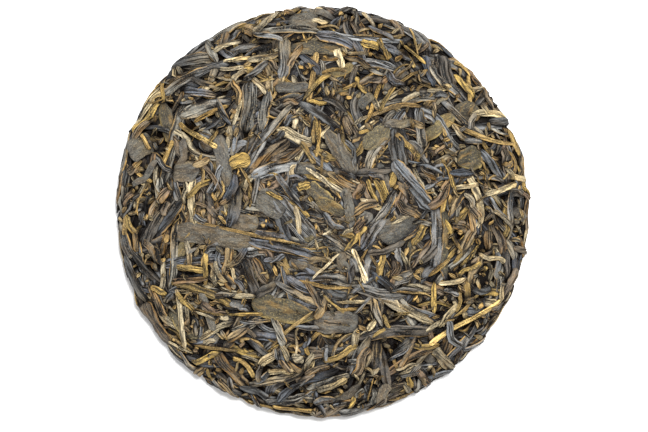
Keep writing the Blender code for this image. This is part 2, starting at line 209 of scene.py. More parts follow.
DEEP_MIX: dict[Kind, float] = {Kind.DARK: 0.42, Kind.SLATE: 0.22, Kind.BROWN: 0.20, Kind.OLIVE: 0.16}
UPPER_MIX: dict[Kind, float] = {
    Kind.OLIVE: 0.06, Kind.FLAT: 0.04, Kind.BROWN: 0.15, Kind.DARK: 0.11, Kind.SLATE: 0.24,
    Kind.TAN: 0.15, Kind.GOLD: 0.12, Kind.BUD: 0.02, Kind.STALK: 0.03, Kind.THREAD: 0.08,
}
COVER_MIX: dict[Kind, float] = {
    Kind.SLATE: 0.30, Kind.BROWN: 0.20, Kind.TAN: 0.20, Kind.GOLD: 0.15, Kind.THREAD: 0.15,
}
BITS_MIX: dict[Kind, float] = {
    Kind.DARK: 0.18, Kind.SLATE: 0.22, Kind.FLAT: 0.04, Kind.BROWN: 0.24, Kind.TAN: 0.13,
    Kind.GOLD: 0.10, Kind.THREAD: 0.09,
}

# The leaves that stand out on the face, as x, y, heading in degrees, length, width and bend in degrees.
# Places and sizes are millimetres, and a kind further down lies over the kinds above it.
LANDMARKS: dict[Kind, tuple[Row, ...]] = {
    Kind.OLIVE: (
        (-3, 78.5, 0, 26, 7, 0), (-18, -47, -12, 32, 11.5, 0), (26, 35, 40, 16, 8.5, 0),
        (71, 25, 20, 13, 11.5, 0), (70, 47, 60, 14, 13, 0), (-74.5, 43, -75, 22, 7, 0),
        (55, 40, 38, 22, 6.2, 0), (59, -16, -90, 34, 3.6, 0), (-1, 8, -40, 15, 7, 0),
        (4, 2, -30, 16, 6.5, 0),
    ),
    Kind.FLAT: (
        (-9, 92, -5, 15, 8.8, 0), (-88, 31, 30, 13, 10.5, 0), (-65, 19, 0, 13, 10, 0),
        (-47.5, 24, -80, 26, 7, 0), (-14, 59, 0, 17, 5, 0), (37, -8, 20, 21, 12.5, 0),
        (-24, 4, -30, 16, 12, 0), (-38, -5, -10, 16, 8, 0), (-52, -12, -9, 39, 9.6, 0),
        (7, -53, -5, 21, 10.5, 0), (9, 28, -55, 26, 7.4, 0),
    ),
    Kind.BROWN: (
        (-25, 26, 42, 25, 6, 0), (41, -11, 42, 20, 4.6, 0), (10, 14, -32, 18, 4.6, 0),
        (38, 5, 60, 9, 6, 0), (65, 3, 55, 15, 2.8, -30), (80, -14, -88, 11, 4, 0),
        (-14.5, -74, -35, 14, 2.8, 0), (-80, -55, -58, 25, 6, 12), (54, -37, -20, 14, 4.5, 0),
        (-43, -77, -48, 26, 4.8, 0), (40.5, -69, 62, 22, 2.2, 0), (-90, -14, -80, 14, 3, 0),
        (21, 9.5, -65, 13, 2.5, 0), (-34, -58, -45, 8, 2.2, 0),
    ),
    Kind.DARK: (
        (60, 68, -75, 18, 6.4, 0), (-91, -33, -65, 26, 5, 0), (-83, -29, -48, 28, 3.4, 8),
        (30.5, -76, -78, 24, 4.6, 10), (-81, -8, 60, 20, 5, 0), (-2, 46, -30, 29, 4.2, -10),
        (37, -59, 6, 42, 5.8, -10), (-2, -79, 18, 25, 4.2, 8), (-30, -88, -22, 22, 4, 14),
        (26, 19, 4, 20, 4, 10), (11, 18, -20, 12, 3.2, 0), (-83, 38.5, -5, 24, 2.4, -60),
        (-74, -3, 55, 23, 5.8, 10), (-34, -31, -72, 19, 4.6, 0), (-26, -37, 30, 14, 4.6, 0),
        (26.5, -69, 88, 15, 4.6, 0), (-42, 2, 75, 20, 6, 10), (36.5, 30, -83, 20, 8, 0),
        (52, 68, -70, 19, 4.2, 10), (15.5, 94, -65, 12, 2.6, -30), (89, -24, -88, 20, 3.8, -10),
        (38, -66, 45, 14, 4.2, 0), (-62, 72, 12, 24, 6, -14), (-30.5, -65, -35, 16, 3.2, 0),
    ),
    Kind.SLATE: (
        (-45, 88, 30, 22, 5, -20), (-18, 73, 88, 22, 6, 0), (-38, 77, 20, 20, 4, -20),
        (-53, 77, -65, 13, 4, 0), (-65, 62.5, 28, 30, 4.2, -8), (-59, 57, -12, 18, 4, 0),
        (-56, 49, 15, 26, 6.2, -8), (-72, 32, 75, 40, 5, 12), (-97, 23, 72, 16, 5, 0),
        (-35.5, 50, 85, 26, 7.2, 8), (-23, 40, 48, 33, 3.8, -8), (-22, 19.5, 14, 26, 6.2, -8),
        (-13, -4, -48, 30, 9.2, 0), (-20, -17, -12, 38, 4.8, 6), (-71, -20, 85, 38, 3.8, 0),
        (-31, -52.5, 3, 19, 2, 0), (-11, -39, -28, 26, 3.2, 12), (20, 85, -6, 46, 2.4, 35),
        (6, 82.5, -18, 20, 5, 0), (26, 69.3, -5, 27, 4, -50), (38, 50.5, 12, 42, 4.4, -30),
        (47.5, 40, -85, 23, 4.8, 14), (64, 47, -45, 24, 2.8, 0), (83, 21, -50, 23, 3.8, 0),
        (44, 12, -52, 31, 7.2, 15), (54, -13, -92, 32, 5.8, -30), (24, -10, 55, 20, 6.2, 0),
        (28, -38, -8, 28, 5.6, 15), (17, -70, 62, 24, 5.2, 10), (-18, -90.5, 8, 22, 4.2, 12),
        (3, -82, 18, 22, 3.6, 8), (86, 0, -52, 20, 2.2, 0), (84, -3.5, -52, 18, 2.2, 0),
        (2, -33, -6, 31, 5.2, -8), (46, 84, -40, 22, 5, -12), (8, -17, -30, 22, 6, 0),
        (-16, 87, -1, 34, 3.6, -8), (-27, 48, 80, 20, 5.2, 0),
    ),
    Kind.TAN: (
        (-27, 91, 42, 16, 3.2, 0), (-39, 64.5, 35, 11, 2.3, -60), (-39, 73, 8, 18, 2, 0),
        (-79, 13, -85, 20, 2, 25), (-87, 8, 65, 17, 2.4, -40), (2, 15, -34, 29, 2.6, 8),
        (-13, 19, 80, 9, 2.2, -100), (-68, -52, -83, 30, 2.8, -10), (-25, -70, 40, 15, 4.2, 0),
        (8.5, 73, -75, 12, 3.8, 0), (77.5, 52, -58, 15, 2.3, 0), (82, 45.5, -8, 23, 3.2, -45),
        (73, 6, -75, 26, 3.8, -40), (86, 11, 18, 18, 2.8, 25), (41, -48, -24, 29, 4.3, -8),
        (17, -43.5, -1, 22, 2.2, 0), (19.5, -77, 68, 25, 3, 10), (82, -45, 0, 7, 5.5, 0),
        (22.5, 93, -50, 10, 1.6, 0), (21, 88, 20, 8, 1.6, 0), (59, -72, -50, 15, 5.2, 0),
        (-51, -57.5, 28, 22, 3.2, -12), (-61, 4, -86, 25, 3.6, 40), (78, 59, 10, 12, 2.6, -60),
        (-20, -77, 4, 14, 2.6, 0), (-11.5, -70.5, 10, 6, 5, 0), (-13, 35.5, -25, 19, 5, 0),
        (5, -83.5, 22, 16, 3.2, 0), (18, -26, -68, 18, 2.8, 0),
    ),
    Kind.GOLD: (
        (-85, 45, 48, 20, 3.4, -8), (-39, 24, 10, 10.5, 7.4, 0), (-62, -27.5, -8, 16, 3.2, 0),
        (-55.5, -26, 88, 20, 2.4, 0), (23, 80, -12, 10, 3.6, 0), (30, 78, -60, 12, 2.6, 0),
        (69, 60.5, -48, 16, 3.4, 0), (24, 9.5, -67, 13, 2.4, 0), (27.5, 10, -63, 13, 2.5, 0),
        (30.5, 9.5, -66, 12, 2.3, 0), (47, -10.5, 60, 14, 3.6, 0), (16, -13, 48, 16, 2.6, 0),
        (28, -26, 78, 17, 3.1, 0), (65, -17, 52, 16, 2.1, 0), (68, -19, 50, 16, 2.2, 0),
        (71, -21.5, 48, 15, 2, 0), (79, -29, 90, 6, 1.8, 0), (-8, 12, 15, 6, 4, 0),
        (-57, -40, -22, 34, 3.8, -25),
    ),
    Kind.BUD: (
        (-38, -40.5, 2, 13, 3, 0), (46, -36.5, -8, 13, 4.2, 0),
    ),
    Kind.STALK: (
        (-4.5, 64, 80, 25, 2.8, 6), (-59, 36.5, -32, 22, 2.5, 25), (-74, 27.5, 66, 14, 2.4, 0),
        (-86, 16.5, -30, 10, 1.8, 0), (70, -53, 30, 43, 2.5, -10), (-95, -6, -88, 11, 2.5, 0),
        (-85, 33.5, -60, 9, 1.9, 0), (42.5, 74, -68, 11, 1.9, 0), (68, 68.5, -38, 11, 1.9, -50),
        (-14, -95.5, -9, 20, 1.9, 14), (-38, -76, -45, 16, 2.2, -80),
    ),
    Kind.THREAD: (
        (-36.5, 12, -75, 23, 1.6, -50), (-3, 35, -88, 24, 1.8, -75), (-36, -10.5, -12, 58, 1.9, 0),
        (1, -35, -8, 30, 1.9, 0), (-14, -56, 40, 27, 1.9, -8), (-51, -66, -5, 22, 1.8, 0),
        (92, 22, -90, 17, 1.9, -110), (27.5, -46, -90, 13, 1.7, -120), (79, -24, 2, 14, 1.9, 0),
        (49.5, 57.4, 0, 20, 1.6, -320), (10, -66, 60, 20, 1.7, -90), (-53, 46.5, 25, 19, 2.3, -14),
        (6, 66.5, 5, 14, 1.9, -70), (76, 38.5, -18, 39, 2.2, 40), (15, -46.5, 3, 18, 1.8, 8),
        (56, -27, 40, 14, 2.6, 0), (33, 46.5, 15, 33, 2.2, -42), (24.5, 52, 70, 26, 2, 8),
    ),
}


def linear(shade: Array) -> Array:
    """Turns sRGB shades from 0 to 255 into linear light, by the two-part sRGB curve.

    Args:
        shade: Shades, with the colour on the last axis.

    Returns:
        The same colours from 0 to 1.
    """
    share = np.asarray(shade, float) / 255.0
    return np.where(share <= 0.04045, share / 12.92, ((share + 0.055) / 1.055) ** 2.4)


def smooth(value: Array, start: float, end: float) -> Array:
    """A share that eases from 0 at the start to 1 at the end, as three squares less two cubes.

    Args:
        value: The values to place between the two.
        start: Where the share leaves 0.
        end: Where it reaches 1.

    Returns:
        The share of each value.
    """
    share = np.clip((value - start) / (end - start), 0.0, 1.0)
    return share * share * (3.0 - 2.0 * share)


@dataclass
class CakeForm:
    """The pressed form that the leaves lie in, the same one that the solid is built from."""

    radius: float = 0.1003
    face_height: float = 0.025
    waist: float = 0.007
    face_power: float = 2.5
    back_radius: float = 0.092
    knot_radius: float = 0.029
    knot_depth: float = 0.010
    waves: tuple[tuple[int, float, float], ...] = ((2, 0.0067, 30.0), (3, 0.0051, -34.0))
    steps: int = 160

    def __post_init__(self) -> None:
        """Works out the profile, the distance along it and its outward direction."""
        turn = np.linspace(0.0, math.pi / 2, self.steps)
        dome = self.radius * np.sin(turn) ** (2.0 / self.face_power)
        under = self.back_radius + (self.radius - self.back_radius) * np.cos(turn[1:])
        back = np.linspace(self.back_radius, self.knot_radius, self.steps)[1:]
        knot = np.linspace(self.knot_radius, 0.0, self.steps)[1:]
        knot_height = self.knot_depth * (1.0 + np.cos(math.pi * knot / self.knot_radius)) / 2.0
        self.across = np.concatenate([dome, under, back, knot])
        self.up = np.concatenate([
            self.waist + (self.face_height - self.waist) * np.cos(turn),
            self.waist * (1.0 - np.sin(turn[1:])),
            np.zeros(len(back)),
            knot_height,
        ])
        steps = np.hypot(np.diff(self.across), np.diff(self.up))
        self.far = np.concatenate([[0.0], np.cumsum(steps)])
        self.whole = float(self.far[-1])
        self.rim = float(self.far[self.steps - 1])
        out_across = -np.gradient(self.up, self.far)
        out_up = np.gradient(self.across, self.far)
        size = np.hypot(out_across, out_up)
        self.out_across, self.out_up = out_across / size, out_up / size

    def roundness(self, angle: Array) -> Array:
        """The rim's radius as a share of a true circle's: 1 plus a few low cosine waves.

        Args:
            angle: Angles round the cake in radians.

        Returns:
            The share at each angle.
        """
        share = np.ones_like(angle)
        for count, depth, turn in self.waves:
            share = share + depth * np.cos(count * angle + math.radians(turn))
        return share

    def place(self, far: Array, angle: Array, proud: Array) -> Array:
        """Points at a distance along the profile and an angle, moved along the outward direction.

        Args:
            far: Distance along the profile from the middle of the face.
            angle: Angle round the cake in radians.
            proud: Height over the pressed surface, which is below 0 inside the cake.

        Returns:
            The points, with x, y and z on the last axis.
        """
        radius = np.interp(far, self.far, self.across) + proud * np.interp(far, self.far, self.out_across)
        height = np.interp(far, self.far, self.up) + proud * np.interp(far, self.far, self.out_up)
        radius = np.maximum(radius, 0.0) * self.roundness(angle)
        return np.stack([radius * np.cos(angle), radius * np.sin(angle), height], axis=-1)

    def from_map(self, side: Side, u: Array, v: Array, proud: Array) -> Array:
        """Points of a side's map, whose distance from its middle is the distance along the profile.

        Args:
            side: The side of the cake.
            u: First coordinate on the map.
            v: Second coordinate on the map.
            proud: Height over the pressed surface.

        Returns:
            The points in the cake's frame.
        """
        far = np.hypot(u, v)
        if side is Side.BACK:
            return self.place(self.whole - far, np.arctan2(v, -u), proud)
        return self.place(far, np.arctan2(v, u), proud)

    def face_map(self, x: Array, y: Array) -> tuple[Array, Array]:
        """The place on the face's map of points seen from straight above.

        Args:
            x: Distance to the right of the middle.
            y: Distance above the middle.

        Returns:
            The two coordinates on the map.
        """
        radius, angle = np.hypot(x, y), np.arctan2(y, x)
        far = np.interp(radius / self.roundness(angle), self.across[: self.steps], self.far[: self.steps])
        return far * np.cos(angle), far * np.sin(angle)


STATIONS = 33
LANES = 9


class Detail(Enum):
    """How finely leaves are formed, as stations for each ring, points over the top and under it."""

    TOP = (2, 14, 3)
    MIDDLE = (4, 11, 3)
    UNDER = (3, 8, 2)
    DEEP = (4, 9, 2)
    SMALL = (8, 6, 1)


@dataclass
class Leaves:
    """A batch of leaves, one value for each in every array.

    Sway is how far in degrees the heading swings along a leaf, and tilt is how much the whole leaf
    leans to one side. Phase holds six drawn numbers from 0 to 1, which start its waves. Bed and
    roll, at every station, are the height that it lies at in the loose pile and its lean there.
    """

    u: Array
    v: Array
    heading: Array
    length: Array
    width: Array
    thickness: Array
    bend: Array
    taper: Array
    gilt: Array
    shade: Array
    tip: Array
    rib: Array
    kind: Kind
    side: Side
    detail: Detail
    sway: Array = field(init=False)
    tilt: Array = field(init=False)
    phase: Array = field(init=False)
    bed: Array = field(init=False)
    roll: Array = field(init=False)
    sway_waves: float = 1.2

    def path(self) -> tuple[Array, Array, Array, Array]:
        """The middle lines on the map: arcs, with a slow sway, that are centred on each place.

        The heading turns evenly by the bend along the leaf and swings by the sway, on a sine.
        Stations lie closer near both ends, on half a cosine wave.

        Returns:
            Two coordinates and the heading at every station, and the stations' shares of the length.
        """
        share = 0.5 - 0.5 * np.cos(math.pi * np.arange(STATIONS) / (STATIONS - 1))
        waves = 2 * math.pi * (share * self.sway_waves + self.phase[:, :1])
        sway = np.radians(self.sway)[:, None] * np.sin(waves)
        heading = np.radians(self.heading)[:, None] + np.radians(self.bend)[:, None] * (share - 0.5) + sway
        middle = (heading[:, 1:] + heading[:, :-1]) / 2
        step = np.diff(share) * self.length[:, None]
        u = np.concatenate([np.zeros((len(step), 1)), np.cumsum(step * np.cos(middle), axis=1)], axis=1)
        v = np.concatenate([np.zeros((len(step), 1)), np.cumsum(step * np.sin(middle), axis=1)], axis=1)
        u += (self.u - (u.min(axis=1) + u.max(axis=1)) / 2)[:, None]
        v += (self.v - (v.min(axis=1) + v.max(axis=1)) / 2)[:, None]
        return u, v, heading, share

    def outline(self, share: Array, longer: Array | None = None) -> Array:
        """Width along the leaf as a share of its greatest.

        Over each taper it is a mix of a quarter circle and a straight line, which makes a point.

        Args:
            share: The stations' shares of the length.
            longer: How much longer the tapers are than the leaf's own, for each of its ends.

        Returns:
            One row for each leaf.
        """
        taper = self.taper if longer is None else self.taper * longer
        into = np.clip(share[None] / taper[:, :1], 0.0, 1.0)
        left = np.clip((1.0 - share[None]) / taper[:, 1:], 0.0, 1.0)
        point = CUTS[self.kind].point * self.phase[:, 1:3]
        both = 1.0
        for number, rise in enumerate((into, left)):
            curve = np.sqrt(1.0 - (1.0 - rise) ** 2)
            both = both * (curve + (rise - curve) * point[:, number : number + 1])
        return both


@dataclass(frozen=True)
class Pressing:
    """How much of its distance from the pile's crown a point keeps when the pile is pressed.

    Each share is the one where the press bears, and what looseness adds to it. On the face, that
    goes from none at the first distance from the middle to all of it at the second.
    """

    tight_to: float = 0.015
    loose_from: float = 0.095
    back_looseness: float = 0.35
    over: Span = (0.28, 0.24)
    under: Span = (0.22, 0.54)

    def looseness(self, side: Side, far: Array) -> Array:
        """How loose the pile stays at a distance from the middle of a side.

        Args:
            side: The side of the cake.
            far: Distance from the middle of its map.

        Returns:
            The looseness, from 0 to 1.
        """
        if side is Side.BACK:
            return np.full_like(far, self.back_looseness)
        return smooth(far, self.tight_to, self.loose_from)


class Pile:
    """Leaves laid one on another over a flat map of one side, kept as the height of each cell.

    Evening is how a stiff leaf mixes a station with its neighbours. Highest share and mean share
    say how the cells under its width make up its bed, which lies no more than most sink below them.
    Lean share is how far it follows a slope under it, up to most roll. Crown window and crown
    spread shape the crown, and out of reach is how much higher a cell that stays clear counts.
    """

    evening: Array = np.array([0.08, 0.12, 0.18, 0.24, 0.18, 0.12, 0.08])
    highest_share: float = 0.7
    mean_share: float = 0.3
    most_sink: float = 0.0009
    lean_share: float = 0.5
    most_roll: float = 0.25
    crown_window: float = 0.012
    crown_spread: float = 0.8
    out_of_reach: float = 0.02

    def __init__(self, side: Side, reach: float, cell: float = 0.0008) -> None:
        """Starts with a bare map.

        Args:
            side: The side of the cake.
            reach: Half the map's width.
            cell: The size of a cell.
        """
        self.side, self.reach, self.cell = side, reach, cell
        self.pressing = Pressing()
        self.count = int(2 * reach / cell) + 2
        self.height = np.zeros((self.count, self.count))
        self.clear = np.zeros((self.count, self.count))
        self.crown = self.height

    def cells(self, u: Array, v: Array) -> tuple[Array, Array]:
        """The cell of each point of the map.

        Args:
            u: First coordinate on the map.
            v: Second coordinate on the map.

        Returns:
            The row and the column of each point's cell.
        """
        last = self.count - 1
        column = np.clip(((u + self.reach) / self.cell).astype(int), 0, last)
        return np.clip(((v + self.reach) / self.cell).astype(int), 0, last), column

    def lay(self, leaves: Leaves, stays_clear: bool = False) -> None:
        """Lays a batch leaf by leaf, each draped over what lies under it.

        A leaf's bed at a station is mostly the highest cell under its width, evened out along its
        length because it is stiff. Its ends dip into the pile, and it rolls to the side that lies
        lower.

        Args:
            leaves: The batch, which gets its bed and roll at every station.
            stays_clear: Whether crumbs and bits keep off these leaves.
        """
        u, v, heading, share = leaves.path()
        half = leaves.outline(share) * leaves.width[:, None] / 2
        dip = CUTS[leaves.kind].dip * leaves.phase[:, 3:4] * np.abs(2.0 * share - 1.0) ** 4
        lane = np.linspace(-1.0, 1.0, LANES)
        dome = np.sqrt(1.0 - 0.9 * lane**2)
        leaves.bed = np.empty_like(u)
        leaves.roll = np.empty_like(u)
        for leaf in range(len(u)):
            aside = half[leaf][:, None] * lane
            across_u = u[leaf][:, None] - np.sin(heading[leaf])[:, None] * aside
            across_v = v[leaf][:, None] + np.cos(heading[leaf])[:, None] * aside
            under = self.height[self.cells(across_u, across_v)]
            top = self.highest_share * under.max(axis=1) + self.mean_share * under.mean(axis=1)
            bed = self.evened(self.evened(top))
            bed = np.maximum(bed, top - self.most_sink) - dip[leaf]
            lean = (under[:, -2:].mean(axis=1) - under[:, :2].mean(axis=1)) / leaves.width[leaf]
            roll = np.clip(self.lean_share * self.evened(lean), -self.most_roll, self.most_roll)
            roll = roll + leaves.tilt[leaf]
            leaves.bed[leaf], leaves.roll[leaf] = bed, roll
            top = bed[:, None] + roll[:, None] * aside + leaves.thickness[leaf] * dome
            fine_u = np.concatenate([across_u, (across_u[1:] + across_u[:-1]) / 2])
            fine_v = np.concatenate([across_v, (across_v[1:] + across_v[:-1]) / 2])
            fine_top = np.concatenate([top, (top[1:] + top[:-1]) / 2])
            covered = self.cells(fine_u, fine_v)
            np.maximum.at(self.height, covered, fine_top)
            if stays_clear:
                self.clear[covered] = 1.0

    def evened(self, along: Array) -> Array:
        """Values along a leaf, each mixed with the three on either side of it.

        Args:
            along: One value for each station.

        Returns:
            The mixed values.
        """
        return np.convolve(np.pad(along, len(self.evening) // 2, mode="edge"), self.evening, mode="valid")

    def even_out(self, grid: Array) -> Array:
        """A grid evened out, as the mean over a square window, taken twice.

        Args:
            grid: One value for each cell.

        Returns:
            The evened value of every cell.
        """
        window = int(self.crown_window / self.cell) | 1
        for axis in (0, 1, 0, 1):
            margins = [(0, 0), (0, 0)]
            margins[axis] = (window // 2 + 1, window // 2)
            total = np.cumsum(np.pad(grid, margins, mode="edge"), axis=axis)
            high, low = [slice(None)] * 2, [slice(None)] * 2
            high[axis], low[axis] = slice(window, None), slice(0, -window)
            grid = (total[tuple(high)] - total[tuple(low)]) / window
        return grid

    def close(self) -> None:
        """Works out the crown, the even surface that pressing makes level.

        It is the evened height, raised by most of the height's spread round each cell.
        """
        level = self.even_out(self.height)
        spread = np.sqrt(np.maximum(self.even_out(self.height**2) - level**2, 0.0))
        self.crown = level + self.crown_spread * spread

    def at(self, grid: Array, u: Array, v: Array) -> Array:
        """A grid's value at points of the map, by the straight mix of the four cells round each.

        Args:
            grid: One value for each cell.
            u: First coordinate on the map.
            v: Second coordinate on the map.

        Returns:
            The value at every point.
        """
        column = np.clip((u + self.reach) / self.cell - 0.5, 0.0, self.count - 1.001)
        row = np.clip((v + self.reach) / self.cell - 0.5, 0.0, self.count - 1.001)
        j, i = column.astype(int), row.astype(int)
        x, y = column - j, row - i
        low = grid[i, j] * (1 - x) + grid[i, j + 1] * x
        return low * (1 - y) + (grid[i + 1, j] * (1 - x) + grid[i + 1, j + 1] * x) * y

    def press(self, u: Array, v: Array, height: Array) -> Array:
        """Height over the cake's surface of points of the pile, once it is pressed.

        What stands over the crown and what lies under it both keep a share of their distance from
        it, which is small in the middle, where the press bears, and larger at the rim.

        Args:
            u: First coordinate on the map.
            v: Second coordinate on the map.
            height: Height in the loose pile.

        Returns:
            The height over the pressed surface.
        """
        loose = self.pressing.looseness(self.side, np.hypot(u, v))
        over = height - self.at(self.crown, u, v)
        kept_over = self.pressing.over[0] + self.pressing.over[1] * loose
        kept_under = self.pressing.under[0] + self.pressing.under[1] * loose
        return np.where(over > 0.0, kept_over * over, kept_under * over)


@dataclass
class MeshParts:
    """Arrays of a mesh: points, faces as rows of four or three, and what its points and corners carry."""

    points: Array
    quads: Array
    triangles: Array
    tint: Array
    gilt_and_shade: Array
    pattern: Array
    lines: Array


def join_parts(parts: list[MeshParts]) -> MeshParts:
    """Puts several meshes into one, with the numbers of later faces moved on.

    Args:
        parts: The meshes.

    Returns:
        The joined mesh.
    """
    start, quads, triangles = 0, [], []
    for part in parts:
        quads.append(part.quads + start)
        triangles.append(part.triangles + start)
        start += len(part.points)
    return MeshParts(
        np.concatenate([part.points for part in parts]),
        np.concatenate(quads),
        np.concatenate(triangles),
        np.concatenate([part.tint for part in parts]),
        np.concatenate([part.gilt_and_shade for part in parts]),
        np.concatenate([part.pattern for part in parts]),
        np.concatenate([part.lines for part in parts]),
    )


def tube_faces(count: int, rings: int, around: int) -> tuple[Array, Array]:
    """Faces of closed tubes whose rings follow one another and whose ends are points.

    Each tube's points are its rings, then its first and its last end.

    Args:
        count: The number of tubes.
        rings: Rings in each tube.
        around: Points in each ring.

    Returns:
        The quads of the walls and the triangles of the ends.
    """
    size = rings * around + 2
    start = (np.arange(count) * size)[:, None, None]
    ring = (np.arange(rings - 1) * around)[None, :, None]
    here = np.arange(around)[None, None]
    after = (here + 1) % around
    quads = np.stack([
        start + ring + here, start + ring + here + around,
        start + ring + after + around, start + ring + after,
    ], axis=-1).reshape(-1, 4)
    begin = np.broadcast_to(start[..., 0] + size - 2, (count, around))
    end = np.broadcast_to(start[..., 0] + size - 1, (count, around))
    first = start[..., 0] + here[0]
    first_after = start[..., 0] + after[0]
    last = (rings - 1) * around
    triangles = np.concatenate([
        np.stack([begin, first, first_after], axis=-1).reshape(-1, 3),
        np.stack([end, first_after + last, first + last], axis=-1).reshape(-1, 3),
    ])
    return quads, triangles


def make_object(name: str, parts: MeshParts, rounded: bool) -> bpy.types.Object:
    """Puts the arrays into a mesh at the origin.

    Args:
        name: The piece's name.
        parts: Its arrays.
        rounded: Whether its faces are smooth, or else each is flat.

    Returns:
        The piece.
    """
    mesh = bpy.data.meshes.new(name)
    corners = np.concatenate([parts.quads.ravel(), parts.triangles.ravel()]).astype(np.int32)
    starts = np.concatenate([
        np.arange(len(parts.quads)) * 4,
        len(parts.quads) * 4 + np.arange(len(parts.triangles)) * 3,
    ]).astype(np.int32)
    mesh.vertices.add(len(parts.points))
    mesh.vertices.foreach_set("co", parts.points.astype(np.float32).ravel())
    mesh.loops.add(len(corners))
    mesh.loops.foreach_set("vertex_index", corners)
    mesh.polygons.add(len(starts))
    mesh.polygons.foreach_set("loop_start", starts)
    mesh.update(calc_edges=True)
    mesh.polygons.foreach_set("use_smooth", np.full(len(starts), rounded))
    for label, values in (("tint", parts.tint), ("gilt_and_shade", parts.gilt_and_shade)):
        layer = mesh.color_attributes.new(label, "FLOAT_COLOR", "POINT")
        colours = np.concatenate([values, np.ones((len(values), 1))], axis=1)
        layer.data.foreach_set("color", colours.astype(np.float32).ravel())
    for label, values in (("leaf_pattern", parts.pattern), ("leaf_ribs", parts.lines)):
        layer = mesh.uv_layers.new(name=label)
        layer.uv.foreach_set("vector", values[corners].astype(np.float32).ravel())
    mesh.validate()
    piece = bpy.data.objects.new(name, mesh)
    bpy.context.scene.collection.objects.link(piece)
    return piece


